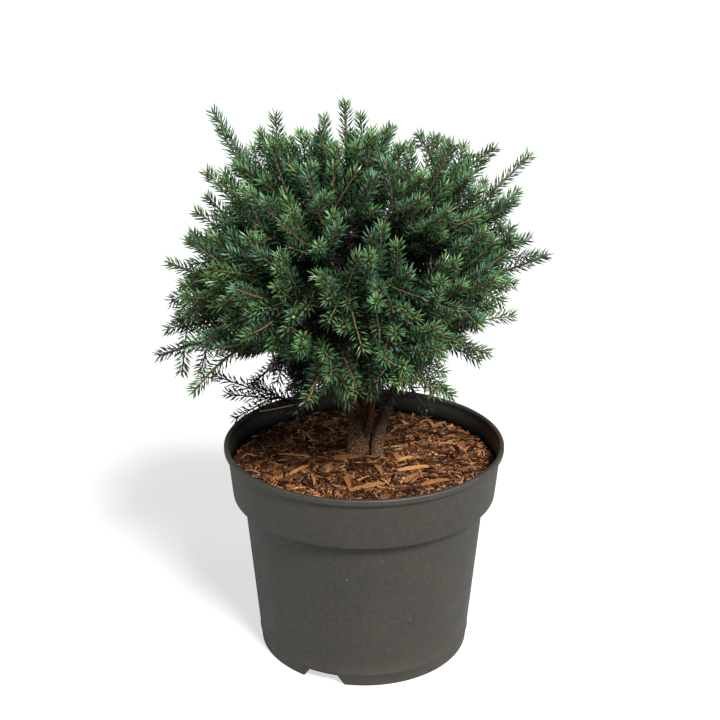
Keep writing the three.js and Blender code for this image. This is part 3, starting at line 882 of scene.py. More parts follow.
def make_bark(name, tones, scale, depth, crown_shade=None):
    """Scaly bark: dark cracks, lighter scales and a tint in soft blotches, and painted shade darker up past a
    height.
    """
    dark, light, tint = tones
    material, tree, shader = start_material(name, BARK_ROUGHNESS)
    place = place_on(tree)
    feeds = {"Vector": place, "Scale": scale}
    cracks = put(tree, "ShaderNodeTexVoronoi", {"feature": "DISTANCE_TO_EDGE"}, feeds).outputs["Distance"]
    crumbs = mottling(tree, scale=scale * CRUMB_FINENESS, detail=5.0, low=0.3, high=0.7)
    lit = calculate(tree, "ADD", part_of(tree, crumbs, CRUMB_STRENGTH), LEAST_LIGHT)
    mask = calculate(tree, "MULTIPLY", run_between(tree, cracks, 0.0, CRACK_SHARE), lit)
    wood = blend_colours(tree, mask, dark, light)
    blotch = mottling(tree, scale=scale * BLOTCH_FINENESS, detail=3.0, low=0.48, high=0.7)
    toned = blend_colours(tree, part_of(tree, blotch, BLOTCH_STRENGTH), wood, tint)
    # Painted shade: the bark darkens between two heights, up into the crown, which shades it.
    if crown_shade:
        height = put(tree, "ShaderNodeSeparateXYZ", None, {0: place}).outputs["Z"]
        toned = blend_colours(tree, run_between(tree, height, *crown_shade, 0.0, CROWN_SHADE_SHARE), toned, dark)
    tree.links.new(toned, shader.inputs["Base Color"])
    add_relief(tree, shader, mask, depth)
    return material


BARK_TONES = ((16, 8, 4), (214, 156, 110), (118, 108, 58))
BOUGH_TONES = ((40, 23, 14), (118, 74, 50), (120, 70, 42))
TWIG_TONES = ((82, 72, 38), (164, 140, 82), (122, 110, 62))
# Painted shade: a dark copy of the twig wood, for the shoots in the shade.
SHADED_TONES = ((14, 10, 6), (46, 34, 21), (34, 27, 17))
DEAD_TONES = ((150, 120, 84), (246, 224, 184), (206, 172, 128))
# The painted shade of the crown on the trunk runs in between these heights.
CROWN_SHADE_HEIGHTS = (0.196, 0.222)
BARK = make_bark("old scaly bark", BARK_TONES, scale=330.0, depth=0.0012, crown_shade=CROWN_SHADE_HEIGHTS)
BOUGH_BARK = make_bark("bough bark", BOUGH_TONES, scale=700.0, depth=0.0003)
TWIG_WOOD = make_bark("twig wood", TWIG_TONES, scale=900.0, depth=0.0002)
SHADED_WOOD = make_bark("shaded twig wood", SHADED_TONES, scale=900.0, depth=0.0002)
DEAD_WOOD = make_bark("dead twig wood", DEAD_TONES, scale=900.0, depth=0.0001)
trunk_mesh.materials.append(BARK)
add_piece("trunk_bark", trunk_mesh, ["trunk"])

# %% [markdown]
# Boughs leave the trunk steeply, arch outwards and end where their mass of foliage begins. Each is
# a curve with a thickness at every point. A Geometry Nodes tree sweeps a ring along all of them at
# once and roughens the surface with noise. The same tree makes all the other limbs later.

# %% A tree that turns paths into limbs


def make_limb_tree():
    """Sweeps a ring along each path, by the path's own thickness, and roughens what it makes."""
    inputs = {"Geometry": ["Paths"], "Int": ["Sides"], "Float": ["Relief", "Relief scale"]}
    inputs["Material"] = ["Finish"]
    tree, given, taken = open_tree("Limbs along paths", "GeometryNodeTree", inputs, {"Geometry": ["Limbs"]})
    feeds = {"Resolution": given["Sides"], "Radius": 1.0}
    ring = put(tree, "GeometryNodeCurvePrimitiveCircle", None, feeds).outputs[0]
    feeds = {"Curve": given["Paths"], "Profile Curve": ring, "Fill Caps": True}
    feeds["Scale"] = put(tree, "GeometryNodeInputRadius").outputs[0]
    swept = put(tree, "GeometryNodeCurveToMesh", None, feeds).outputs[0]
    cloud = put(tree, "ShaderNodeTexNoise", None, {"Scale": given["Relief scale"], "Detail": 3.0})
    height = calculate(tree, "SUBTRACT", cloud.outputs["Fac"], 0.5)
    normal = put(tree, "GeometryNodeInputNormal").outputs[0]
    push = stretched(tree, normal, calculate(tree, "MULTIPLY", height, given["Relief"]))
    rough = put(tree, "GeometryNodeSetPosition", None, {"Geometry": swept, "Offset": push}).outputs[0]
    smooth = put(tree, "GeometryNodeSetShadeSmooth", None, {"Geometry": rough}).outputs[0]
    return end_tree(tree, smooth, given["Finish"], taken)


def curve_from(paths):
    """One curve object's data from many paths, each a list of points with a thickness for each."""
    data = bpy.data.curves.new("routes", "CURVE")
    data.dimensions = "3D"
    for points, thickness in paths:
        spline = data.splines.new("POLY")
        spline.points.add(len(points) - 1)
        flat = np.ones((len(points), 4), np.float32)
        flat[:, :3] = points
        spline.points.foreach_set("co", flat.ravel())
        spline.points.foreach_set("radius", np.asarray(thickness, np.float32))
    return data


def add_limbs(name, paths, sides, relief, relief_scale, finish, nodes=()):
    """Shows paths as one piece of limbs."""
    values = {"Sides": sides, "Relief": relief, "Relief scale": relief_scale, "Finish": finish}
    add_piece(name, run_tree(LIMB_TREE, curve_from(paths), values), nodes)


LIMB_TREE = make_limb_tree()
print("Built the tree", LIMB_TREE.name)

# %% [markdown]
# A bough's route is a cubic curve between the trunk and its mass. Its slope at both ends and its
# starting height come from its tier, and neighbours start at different heights, as in a whorl
# that has drawn apart with the years.

# %% Boughs
BOUGHS = {
    "skirt": {"start_z": 0.197, "depart": 30, "arrive": -5, "thick": 0.0026},
    "low": {"start_z": 0.219, "depart": 42, "arrive": 5, "thick": 0.0032},
    "middle": {"start_z": 0.245, "depart": 50, "arrive": 25, "thick": 0.0030},
    "crest": {"start_z": 0.283, "depart": 55, "arrive": 50, "thick": 0.0025},
}
STAGGER = 0.008
STAGGER_ROUND = 3
BOUGH_TIP_RADIUS = 0.0019
BOUGH_STEPS = 26


def cubic(a, b, c, d, steps):
    """Points along a cubic curve."""
    shares = np.linspace(0, 1, steps + 1)[:, None]
    rest = 1 - shares
    a, b, c, d = (np.array(p) for p in (a, b, c, d))
    return a * rest**3 + 3 * b * shares * rest**2 + 3 * c * shares**2 * rest + d * shares**3


def bough_path(cell):
    """The route and the thickness of the bough that holds a cell's mass."""
    sizes = BOUGHS[cell["tier"]["name"]]
    start_z = sizes["start_z"] + STAGGER * (cell["place"] % STAGGER_ROUND)
    start = trunk_at(trunk_share(start_z))
    end = crown_point(cell["axis"], cell["tier"]["hold"])
    third = (end - start).length / 3
    outward = math.degrees(math.atan2(end.y - start.y, end.x - start.x))
    near = start + direction(outward, sizes["depart"]) * third
    far = end - direction(cell["azimuth"], sizes["arrive"]) * third
    points = cubic(start, near, far, end, BOUGH_STEPS)
    return points, np.linspace(sizes["thick"], BOUGH_TIP_RADIUS, BOUGH_STEPS + 1)


bough_cells = [cell for cell in CELLS if cell is not trunk_cell]
bough_paths = [bough_path(cell) for cell in bough_cells]
bough_nodes = ["bough_" + cell["name"] for cell in bough_cells]
bough_form = {"sides": 14, "relief": 0.0014, "relief_scale": 380.0}
add_limbs("boughs_bark", bough_paths, **bough_form, finish=BOUGH_BARK, nodes=bough_nodes)

# %% [markdown]
# A second, thinner stem stands close against the trunk on its right, and leans away from it into
# the crown. A dark cleft lies between the two. It is swept like a bough, with old bark on it.

# %% Second stem
SECOND_STEM = [(0.0112, 0.001, 0.172), (0.0118, 0.001, 0.212), (0.022, 0.0, 0.240), (0.038, -0.002, 0.272)]
SECOND_RADIUS = (0.0064, 0.0030)
SECOND_STEPS = 70
stem_route = cubic(*SECOND_STEM, SECOND_STEPS)
stem_path = (stem_route, np.linspace(*SECOND_RADIUS, SECOND_STEPS + 1))
add_limbs("second_stem_bark", [stem_path], sides=36, relief=0.0034, relief_scale=330.0, finish=BARK)

# %% [markdown]
# From each bough's tip a stem goes on to a leading shoot, and twigs leave that stem in a whorl.
# That much is the source's rule. Here finer shoots fill the crown. Their tips are spread over it at
# golden-angle directions, which leave no rows and no holes, in four layers, from a few deep inside
# to the most at the surface. Each leaves the wood that lies best for it. A crown of one even round
# looks clipped, so the surface has hollows, and some of the outermost shoots are placed one by one.

# %% Sizes of the shoots
TWIG_FROM = {"wide": 0.1, "narrow": 0.25}
NARROW_SPREAD = 0.8
TWIG_REACH = 0.95
TWIG_REACH_SPAN = 0.12
TWIG_FLARE = 0.25
TWIG_BARE = 0.012
STEM_BARE = 0.12
FINE_BARE = 0.003
STEM_RADIUS = (0.0019, 0.0010)
TWIG_RADIUS = (0.0014, 0.0008)
SIDE_RADIUS = (0.0009, 0.0006)
LAYERS = [
    {"kind": "inner", "count": 150, "reach": (0.12, 0.34), "length": 0.030, "along": 0.5},
    {"kind": "inner", "count": 420, "reach": (0.36, 0.58), "length": 0.036, "along": 0.6},
    {"kind": "deep", "count": 380, "reach": (0.62, 0.79), "length": 0.042, "along": 0.7},
    {"kind": "outer", "count": 500, "reach": (0.83, 0.99), "length": 0.050, "along": 0.72},
]
LOWEST = math.radians(-58)
TUFT_REACH = 0.007
OUTLINE_LENGTH = 0.058
OUTLINE_TIPS = [
    # Places in millimetres, as in the next two lists.
    (-125, 5, 488), (-91, 0, 487), (-76, -20, 504), (-57, 20, 484), (-37, -15, 478), (-3, 0, 502),
    (20, -10, 492), (61, -10, 485), (88, 0, 476), (114, 5, 472), (139, 20, 430), (131, -20, 407),
    (147, -10, 394), (157, 15, 372), (139, 10, 347), (136, -15, 323), (103, 0, 283), (80, 20, 237),
    (-140, 10, 450), (-124, 0, 452), (-148, -15, 420), (-156, 0, 390), (-164, -20, 355),
    (-176, 0, 334), (-180, -10, 309),
]
HANGING_TIPS = [(-37, -70, 272), (27, -55, 285)]
LOW_ROUTES = [
    # Its kind, the place that it leaves, its tip and its bare length, in mm, and its sag.
    ("outer", (-152, -8, 310), (-163, -10, 270), 3, -0.04),
    ("outer", (-138, -8, 302), (-147, -6, 268), 3, -0.04),
    ("deep", (-5, 10, 212), (-140, 40, 247), 45, 0.03),
    ("deep", (-74, 26, 231), (-128, 42, 228), 3, 0.03),
    ("deep", (-84, 28, 233), (-121, 40, 204), 3, -0.04),
    ("deep", (-62, 22, 228), (-98, 44, 210), 3, -0.04),
    ("deep", (-66, 22, 229), (-98, 4, 252), 3, 0.0),
    ("deep", (-40, 18, 222), (-66, 6, 250), 3, 0.0),
    ("outer", (-12, -50, 289), (-43, -60, 286), 3, 0.05),
    ("outer", (-20, -50, 283), (-14, -50, 256), 3, 0.0),
    ("deep", (-22, -50, 283), (-41, -50, 255), 3, 0.0),
    ("outer", (-12, -50, 289), (29, -70, 304), 3, 0.04),
    ("outer", (1, -40, 277), (33, -50, 285), 3, 0.04),
    ("deep", (36, -30, 282), (20, -30, 244), 3, 0.0),
    ("outer", (41, -20, 266), (77, -30, 255), 3, -0.04),
    ("outer", (34, -30, 288), (69, -30, 277), 3, -0.04),
    ("outer", (66, -30, 305), (99, -30, 288), 3, -0.03),
]
HOLLOWS = [
    # Azimuth, elevation and width in degrees, and depth as a share of the crown's reach.
    (180, 39, 13, 0.22), (180, 20, 10, 0.06), (0, -2, 14, 0.14), (335, -20, 18, 0.28),
    (0, -22, 15, 0.32), (350, -42, 18, 0.3), (180, -30, 16, 0.44), (203, -22, 12, 0.3),
    (221, -13, 11, 0.28), (316, -14, 14, 0.2), (156, -35, 13, 0.3), (270, -48, 24, 0.15),
    (0, 69, 10, 0.3), (180, 78, 7, 0.09), (291, 31, 9, 0.26), (262, 8, 6, 0.12),
    (228, -32, 18, 0.34), (262, -38, 16, 0.42), (300, -40, 16, 0.3), (238, -17, 14, 0.26),
    (252, -8, 9, 0.22),
]
STEM_NUDGE = {"crest_1": (0, 0, -8), "crest_3": (-3, 0, -3), "middle_1": (0, 0, -4)}
# Shoots that point lower than this get the dark finishes, as painted shade.
SHADED_BELOW = -0.38
ARCH = {"upper": 0.10, "level": 0.05, "slope": 0.6, "lower": -0.24}
MAIN_SAG = {"upper": 0.10, "lower": -0.05}
UPPER_ABOVE = -0.1
BEND_AT = 0.45
HANG = 0.8
HANG_BELOW = 0.6
SHOOT_STEPS = 7
FINE_SEED = 4100
LAYER_CHANCE = 0.07
FINE_SHORTEST = 0.8
FINE_SPAN = 0.4
FINE_AIM = 0.8
FINE_FOLLOW = 0.5
OUTWARD_WEIGHT = 0.6
OUTLINE_ALONG = 0.85
TRUNK_STATIONS = 40
GOLDEN_ANGLE = math.pi * (3 - math.sqrt(5))
print("The crown has", len(LAYERS), "layers of fine shoots and", len(HOLLOWS), "hollows")

# %% The course of a shoot


def bent_path(start, heading, tip, sag):
    """A shoot that sets off in a heading, bends towards its tip, and sags or rises between."""
    length = (tip - start).length
    middle = start + heading.normalized() * (BEND_AT * length) - Vector((0, 0, sag * length))
    shares = np.linspace(0, 1, SHOOT_STEPS + 1)[:, None]
    rest = 1 - shares
    a, b, c = np.array(start), np.array(middle), np.array(tip)
    return a * rest**2 + 2 * b * shares * rest + c * shares**2


def length_of(points):
    """How long a path is."""
    return float(np.linalg.norm(np.diff(points, axis=0), axis=1).sum())


def tangents_of(points):
    """The direction of a path at each of its points."""
    steps = np.gradient(points, axis=0)
    return steps / np.linalg.norm(steps, axis=1)[:, None]


def wood_of(points):
    """The places on a shoot that others may leave from, each with the shoot's direction there."""
    return np.hstack([points, tangents_of(points)])[1:-1]


def arch_of(out):
    """The sag of a fine shoot. High ones turn up towards their tips, and low ones arch over and hang."""
    return max(min(ARCH["level"] + ARCH["slope"] * out.z, ARCH["upper"]), ARCH["lower"])


def openness(out):
    """The share of the crown's reach that is left in a direction, where the foliage has a hollow."""
    left = 1.0
    for azimuth, elevation, width, depth in HOLLOWS:
        off = math.degrees(out.angle(direction(azimuth, elevation))) / width
        left -= depth * math.exp(-off * off)
    return left


def flow_at(tip):
    """The way that shoots run near a place: outwards, and hanging where the crown is low."""
    out = (tip - CENTRE).normalized()
    hang = HANG * min(max((HANG_BELOW - out.z) / HANG_BELOW, 0), 1)
    return (out - Vector((0, 0, hang))).normalized()


print("A shoot's path has", SHOOT_STEPS + 1, "points")

# %% Growth of the shoots


def add_shoot(shoots, points, radii, bare, kind):
    """Keeps a shoot: its points, its thickness, the length of it that has no needles, and its kind."""
    thickness = np.linspace(*radii, len(points))
    shoots.append({"points": points, "thickness": thickness, "bare": bare, "kind": kind})


def grow_main(cell, number, shoots):
    """The stem and the whorl of twigs of one mass, by the source's rule."""
    random = seeded(SEED + number)
    tier, axis = cell["tier"], cell["axis"]
    reach = crown_reach(axis)
    foot = crown_point(axis, tier["hold"])
    stem_tip = crown_point(axis, cell["lead"]) - axis * TUFT_REACH
    stem_tip += from_mm(STEM_NUDGE.get(cell["name"], (0, 0, 0)))
    # The source also draws how each shoot's needles are turned. Drawing it here keeps them in step.
    random()
    u, v = across_of(axis)
    first_turn = random() * 2 * math.pi
    sag = MAIN_SAG["upper" if axis.z > UPPER_ABOVE else "lower"]
    droop = SPECIAL.get(cell["name"], {}).get("droop", 0)
    kind = "deep" if axis.z < SHADED_BELOW else "outer"
    add_shoot(shoots, bent_path(foot, axis, stem_tip, sag - droop), STEM_RADIUS, reach * STEM_BARE, kind)
    for k in range(1, tier["twigs"] + 1):
        side = leaning(u, v, first_turn + k * 2 * math.pi / tier["twigs"])
        room = widest_spread(cell, side) - NEEDLE_ROOM / reach
        narrow = k % 2 == 1
        start = foot.lerp(stem_tip, TWIG_FROM["narrow" if narrow else "wide"] / cell["lead"])
        share = cell["size"] * (TWIG_REACH + TWIG_REACH_SPAN * random())
        random()
        out = leaning(axis, side, room * (NARROW_SPREAD if narrow else 1))
        tip = crown_point(out, share * openness(out)) - out * TUFT_REACH
        heading = (tip - start).normalized() + side * TWIG_FLARE
        add_shoot(shoots, bent_path(start, heading, tip, sag), TWIG_RADIUS, TWIG_BARE, kind)


def pick_parent(tip, wood, length, along):
    """The place on the wood that a shoot leaves: far enough from its tip, inwards, and forking gently."""
    gap = np.array(tip) - wood[:, :3]
    far = np.maximum(np.linalg.norm(gap, axis=1), 1e-6)
    turn = np.einsum("ij,ij->i", gap, wood[:, 3:]) / far
    outward = gap @ np.array(flow_at(tip)) / far
    cost = np.abs(far - length) / length + np.abs(turn - along) + OUTWARD_WEIGHT * (1 - outward)
    best = wood[int(np.argmin(cost))]
    return Vector(best[:3]), Vector(best[3:])


def add_fine(tip, cell, length, along, kind, shoots, wood):
    """One fine shoot that ends at a tip, on the wood of one mass."""
    start, tangent = pick_parent(tip, wood[cell], length, along)
    heading = (tip - start).normalized() * FINE_AIM + tangent * FINE_FOLLOW
    path = bent_path(start, heading, tip, arch_of((tip - CENTRE).normalized()))
    add_shoot(shoots, path, SIDE_RADIUS, FINE_BARE, kind)
    wood[cell] = np.vstack([wood[cell], wood_of(path)])


def grow_layer(layer, number, shoots, wood):
    """One layer of fine shoots over the whole crown."""
    random = seeded(FINE_SEED + number)
    turn = random() * 2 * math.pi
    low, high = layer["reach"]
    for i in range(layer["count"]):
        height = 1 - (1 - math.sin(LOWEST)) * (i + 0.5) / layer["count"]
        flat = math.sqrt(1 - height * height)
        turn += GOLDEN_ANGLE
        out = Vector((flat * math.cos(turn), flat * math.sin(turn), height))
        shaken = Vector([LAYER_CHANCE * (2 * random() - 1) for _ in range(3)])
        out = (out + shaken).normalized()
        cell = cell_at(out)
        share = CELLS[cell]["size"] * openness(out) * (low + (high - low) * random())
        length = layer["length"] * (FINE_SHORTEST + FINE_SPAN * random())
        kind = "deep" if layer["kind"] == "outer" and out.z < SHADED_BELOW else layer["kind"]
        add_fine(crown_point(out, share), cell, length, layer["along"], kind, shoots, wood)


def grow_to(places, shoots, wood):
    """Shoots that end at chosen places: they draw the crown's outline, as seen from the front."""
    for place in places:
        tip = from_mm(place)
        out = (tip - CENTRE).normalized()
        tip -= out * TUFT_REACH
        add_fine(tip, cell_at(out), OUTLINE_LENGTH, OUTLINE_ALONG, "outer", shoots, wood)


def grow_routes(shoots, wood):
    """Low shoots that leave the wood nearest to a chosen place, and hang or reach out below the crown."""
    everywhere = np.vstack(wood)
    for kind, chosen, tip, bare, sag in LOW_ROUTES:
        tip = from_mm(tip)
        gap = np.linalg.norm(everywhere[:, :3] - np.array(from_mm(chosen)), axis=1)
        start = Vector(everywhere[int(np.argmin(gap))][:3])
        path = bent_path(start, tip - start, tip, sag)
        add_shoot(shoots, path, SIDE_RADIUS, bare / 1000, kind)
        everywhere = np.vstack([everywhere, wood_of(path)])


def grow_crown():
    """Every shoot of the crown."""
    shoots = []
    wood = []
    for number, cell in enumerate(CELLS):
        first = len(shoots)
        grow_main(cell, number, shoots)
        wood.append(np.vstack([wood_of(shoot["points"]) for shoot in shoots[first:]]))
    trunk_wood = wood_of(np.array([trunk_at(k / TRUNK_STATIONS) for k in range(TRUNK_STATIONS + 1)]))
    for number, layer in enumerate(LAYERS):
        grow_layer(layer, number, shoots, wood)
    grow_to(OUTLINE_TIPS + HANGING_TIPS, shoots, wood)
    grow_routes(shoots, wood + [trunk_wood])
    return shoots


shoots = grow_crown()
total_length = sum(length_of(shoot["points"]) for shoot in shoots)
print(len(shoots), "shoots,", round(total_length, 1), "m in all")

# %% [markdown]
# The wood of the shoots is swept with the same tree as the boughs, with fewer sides because there
# are so many. It is ochre and shows among the needles. Shoots in the shade get darker wood, which
# is painted shade.

# %% Twigs
TWIG_FORM = {"sides": 5, "relief": 0.0003, "relief_scale": 500.0}
# Painted shade: the shaded kinds of shoot get the dark copy of the wood.
TWIG_KINDS = {"sunlit": (["outer"], TWIG_WOOD), "shaded": (["deep", "inner"], SHADED_WOOD)}
mass_nodes = ["foliage_" + cell["name"] for cell in CELLS]
for name, (kinds, wood) in TWIG_KINDS.items():
    twig_paths = [(shoot["points"], shoot["thickness"]) for shoot in shoots if shoot["kind"] in kinds]
    add_limbs("twigs_" + name, twig_paths, **TWIG_FORM, finish=wood, nodes=mass_nodes)

# %% [markdown]
# A spruce needle is stiff, four-angled and about 11 mm long, and it curves forward a little. Needles
# stand all round the shoot in a spiral, leaning forward, and close up into a brush at its tip.
# One small closed shape is made here, with three angles because tens of thousands are needed, and
# a Geometry Nodes tree sets it along every shoot.

# %% One needle
NEEDLE_LENGTH = 0.0114
NEEDLE_RADIUS = 0.00076
NEEDLE_CURVE = 0.0013
WIDEST_AT = 0.52


def make_needle():
    """A closed needle along +Z that curves towards +X, with each point's share of the length stored."""
    middle = NEEDLE_CURVE * WIDEST_AT**2
    points = [(0, 0, 0)]
    for i in range(3):
        angle = 2 * math.pi * i / 3 + math.pi
        x, y = NEEDLE_RADIUS * math.cos(angle) + middle, NEEDLE_RADIUS * math.sin(angle)
        points.append((x, y, NEEDLE_LENGTH * WIDEST_AT))
    points.append((NEEDLE_CURVE, 0, NEEDLE_LENGTH))
    faces = [(0, 2, 1), (0, 3, 2), (0, 1, 3), (1, 2, 4), (2, 3, 4), (3, 1, 4)]
    mesh = bpy.data.meshes.new("needle shape")
    mesh.from_pydata(points, [], faces)
    along = mesh.attributes.new("along", "FLOAT", "POINT")
    along.data.foreach_set("value", [point[2] / NEEDLE_LENGTH for point in points])
    return mesh


needle_shape = bpy.data.objects.new("needle shape", make_needle())
print("A needle has", len(needle_shape.data.polygons), "faces")

# %% [markdown]
# The tree walks along each path at an even spacing. It turns each needle on by the golden angle,
# which leaves no rows, leans it by an amount that changes along the shoot, and adds a little
# chance to each angle and length. Each needle also gets numbers that its finish reads: its own
# shade, how near it is to the shoot's tip, and how far it points out of the crown.

# %% Helpers for copies


def random_between(tree, low, high, seed):
    """A random number for each copy."""
    feeds = {2: low, 3: high, "Seed": seed}
    return put(tree, "FunctionNodeRandomValue", {"data_type": "FLOAT"}, feeds).outputs[1]


def seed_after(tree, seed, step):
    """A new seed for each random number that a tree draws."""
    return calculate(tree, "ADD", seed, float(step))


def store(tree, copies, name, value):
    """Stores a number on each copy, for its finish to read."""
    settings = {"data_type": "FLOAT", "domain": "INSTANCE"}
    feeds = {"Geometry": copies, "Name": name, "Value": value}
    return put(tree, "GeometryNodeStoreNamedAttribute", settings, feeds).outputs[0]


def set_copies(tree, points, shape, rotation, size, shade_seed):
    """Sets a turned and sized copy of a shape on each point, and stores its own shade on it."""
    shape = put(tree, "GeometryNodeObjectInfo", None, {"Object": shape}).outputs["Geometry"]
    feeds = {"Points": points, "Instance": shape, "Rotation": rotation, "Scale": size}
    copies = put(tree, "GeometryNodeInstanceOnPoints", None, feeds).outputs[0]
    return store(tree, copies, "shade", random_between(tree, 0.0, 1.0, shade_seed))


print("The helpers for copies are ready")

# %% A tree that sets needles along paths
NEEDLE_INPUTS = {
    "Geometry": ["Paths"], "Object": ["Needle"], "Vector": ["Heart"], "Int": ["Seed"], "Material": ["Finish"],
    "Float": ["Spacing", "Lean at foot", "Lean at tip", "Looseness", "Lift", "Shortest", "Longest",
              "Youth and depth shade at foot"],
}


def point_needles(tree, given, along, normal, share):
    """The way that each needle points: turned on in a spiral, leaning forward and lifted a little."""
    binormal = calculate_vector(tree, "CROSS_PRODUCT", along, normal)
    number = put(tree, "GeometryNodeInputIndex").outputs[0]
    loose, seed = given["Looseness"], given["Seed"]
    tight = calculate(tree, "MULTIPLY", loose, -1.0)
    chance = calculate(tree, "MULTIPLY", random_between(tree, tight, loose, seed), 2.0)
    turn = calculate(tree, "ADD", calculate(tree, "MULTIPLY", number, GOLDEN_ANGLE), chance)
    lean = run_between(tree, share, 0.0, 1.0, given["Lean at foot"], given["Lean at tip"])
    lean = calculate(tree, "ADD", lean, random_between(tree, tight, loose, seed_after(tree, seed, 7)))
    turned = [
        stretched(tree, normal, calculate(tree, "COSINE", turn)),
        stretched(tree, binormal, calculate(tree, "SINE", turn)),
    ]
    outward = calculate_vector(tree, "ADD", *turned)
    leaned = [
        stretched(tree, along, calculate(tree, "COSINE", lean)),
        stretched(tree, outward, calculate(tree, "SINE", lean)),
    ]
    pointing = calculate_vector(tree, "ADD", *leaned)
    return calculate_vector(tree, "ADD", pointing, from_axes(tree, 0.0, 0.0, given["Lift"]))


def make_needle_tree():
    """Sets a shape along paths in a spiral, leaning forward."""
    result = {"Geometry": ["Needles"]}
    tree, given, taken = open_tree("Needles along paths", "GeometryNodeTree", NEEDLE_INPUTS, result)
    capture = tree.nodes.new("GeometryNodeCaptureAttribute")
    capture.capture_items.new("FLOAT", "share")
    tree.links.new(given["Paths"], capture.inputs["Geometry"])
    tree.links.new(put(tree, "GeometryNodeSplineParameter").outputs["Factor"], capture.inputs[1])
    share = capture.outputs[1]
    feeds = {"Curve": capture.outputs["Geometry"], "Length": given["Spacing"]}
    places = put(tree, "GeometryNodeCurveToPoints", {"mode": "LENGTH"}, feeds).outputs
    along = places["Tangent"]
    pointing = point_needles(tree, given, along, places["Normal"], share)
    settings = {"primary_axis": "Z", "secondary_axis": "X"}
    feeds = {"Primary Axis": pointing, "Secondary Axis": along}
    rotation = put(tree, "FunctionNodeAxesToRotation", settings, feeds).outputs[0]
    seed = given["Seed"]
    size = random_between(tree, given["Shortest"], given["Longest"], seed_after(tree, seed, 13))
    shade_seed = seed_after(tree, seed, 19)
    copies = set_copies(tree, places["Points"], given["Needle"], rotation, size, shade_seed)
    # Painted shade: needles darken towards the foot of their shoot, partly because older needles are darker
    # and partly as the shade of depth in the crown.
    youth = run_between(tree, share, 0.0, 1.0, given["Youth and depth shade at foot"], 1.0)
    copies = store(tree, copies, "youth", youth)
    # Painted shade: how far each needle points out of the crown, for its finish to darken those that point
    # in.
    here = put(tree, "GeometryNodeInputPosition").outputs[0]
    from_heart = calculate_vector(tree, "SUBTRACT", here, given["Heart"])
    from_heart = calculate_vector(tree, "NORMALIZE", from_heart)
    facing = calculate_vector(tree, "DOT_PRODUCT", pointing, from_heart, result="Value")
    return end_tree(tree, store(tree, copies, "outside", facing), given["Finish"], taken)


NEEDLE_TREE = make_needle_tree()
print("Built the tree", NEEDLE_TREE.name)

# %% [markdown]
# Needles are waxy: deep green or blue-green on the outer shoots, a fresher green on some tips, and
# painted nearly black inside, as painted shade. A texture could carry this. Here each needle runs
# between two tones by its own shade and a faint mottling. It goes dark towards its foot, which is
# browner there and partly in painted shade, and towards the foot of its shoot, where the needles
# are older and painted shade of depth is added. Where it points into the crown it is darkened as
# painted shade, so that the shoots stand out from each other.

# %% Needle finishes
NEEDLE_LOOKS = {
    # The shaded finish is painted shade: a near-black copy of the green, for shoots inside and low down.
    "shaded": ("shaded needles", 0.6, (2, 5, 2), (5, 13, 6), (14, 28, 15)),
    "deep": ("deep green needles", 0.38, (5, 12, 5), (21, 60, 31), (122, 178, 126)),
    "blue": ("blue green needles", 0.36, (5, 12, 7), (21, 62, 38), (136, 188, 146)),
    "fresh": ("fresh green needles", 0.38, (10, 24, 8), (46, 98, 42), (156, 204, 134)),
}
TONE_SHARE = {"own": 0.7, "mottled": 0.3}
DARK_SHARE = {"youth": 0.7, "outside": 0.92}
CLEAR_OF_DARK = {"youth": (0.0, 0.8), "outside": (-0.1, 0.72), "along": (0.18, 0.76)}


def make_needle_finish(name, roughness, foot, dark, light):
    """Waxy needles: a dark foot, then a green that each needle has between two tones, darkened by painted
    shade.
    """
    material, tree, shader = start_material(name, roughness)
    own = part_of(tree, stored(tree, "shade"), TONE_SHARE["own"])
    soft = mottling(tree, scale=120.0, detail=2.0, low=0.35, high=0.65)
    tone = calculate(tree, "ADD", own, part_of(tree, soft, TONE_SHARE["mottled"]))
    green = blend_colours(tree, tone, dark, light)
    # Painted shade: darker towards the shoot's foot, partly for older needles, and where a needle points into
    # the crown.
    for number, share in DARK_SHARE.items():
        clear = run_between(tree, stored(tree, number), *CLEAR_OF_DARK[number])
        green = blend_colours(tree, clear, blend_colours(tree, share, green, foot), green)
    # Darker towards the needle's own foot: browner there, and partly painted shade.
    clear = run_between(tree, stored(tree, "along"), *CLEAR_OF_DARK["along"])
    tree.links.new(blend_colours(tree, clear, foot, green), shader.inputs["Base Color"])
    return material


NEEDLE_FINISHES = {kind: make_needle_finish(*look) for kind, look in NEEDLE_LOOKS.items()}
print("Needle finishes:", list(NEEDLE_FINISHES))

# %% [markdown]
# A path is cut in two: the main stretch, and the last nine millimetres, whose needles are shorter,
# denser and point forward. A mesh of many needles must stay a moderate size, so the paths of one
# kind are shared out over as many pieces as they need.

# %% Needles on the shoots
TIP_STRETCH = 0.009
CLOSEST_STATION = 0.0005
SHADED_SPACING = 1.3
PIECE_LIMIT = 32000
FINISH_SEED = 77
DEEP_UP_TO = 0.5
BLUE_UP_TO = 0.92
PLAIN_TIPS_UP_TO = 0.75
NEEDLE_SEED = 3
NEEDLE_SPACING = {"main": 0.00066, "tip": 0.0004}
# Youth and depth shade at the foot of each stretch: the tip stretch gets none of this painted shade.
NEEDLE_STAND = {
    "main": {"lean": (64, 57), "length": (0.88, 1.06), "youth": 0.0},
    "tip": {"lean": (59, 46), "length": (0.84, 1.02), "youth": 1.0},
}
NEEDLE_LOOSENESS = 0.1
NEEDLE_LIFT = 0.1
# The point that the painted shade of needles pointing into the crown is measured from.
NEEDLE_HEART = CENTRE - Vector((0, 0, 0.07))


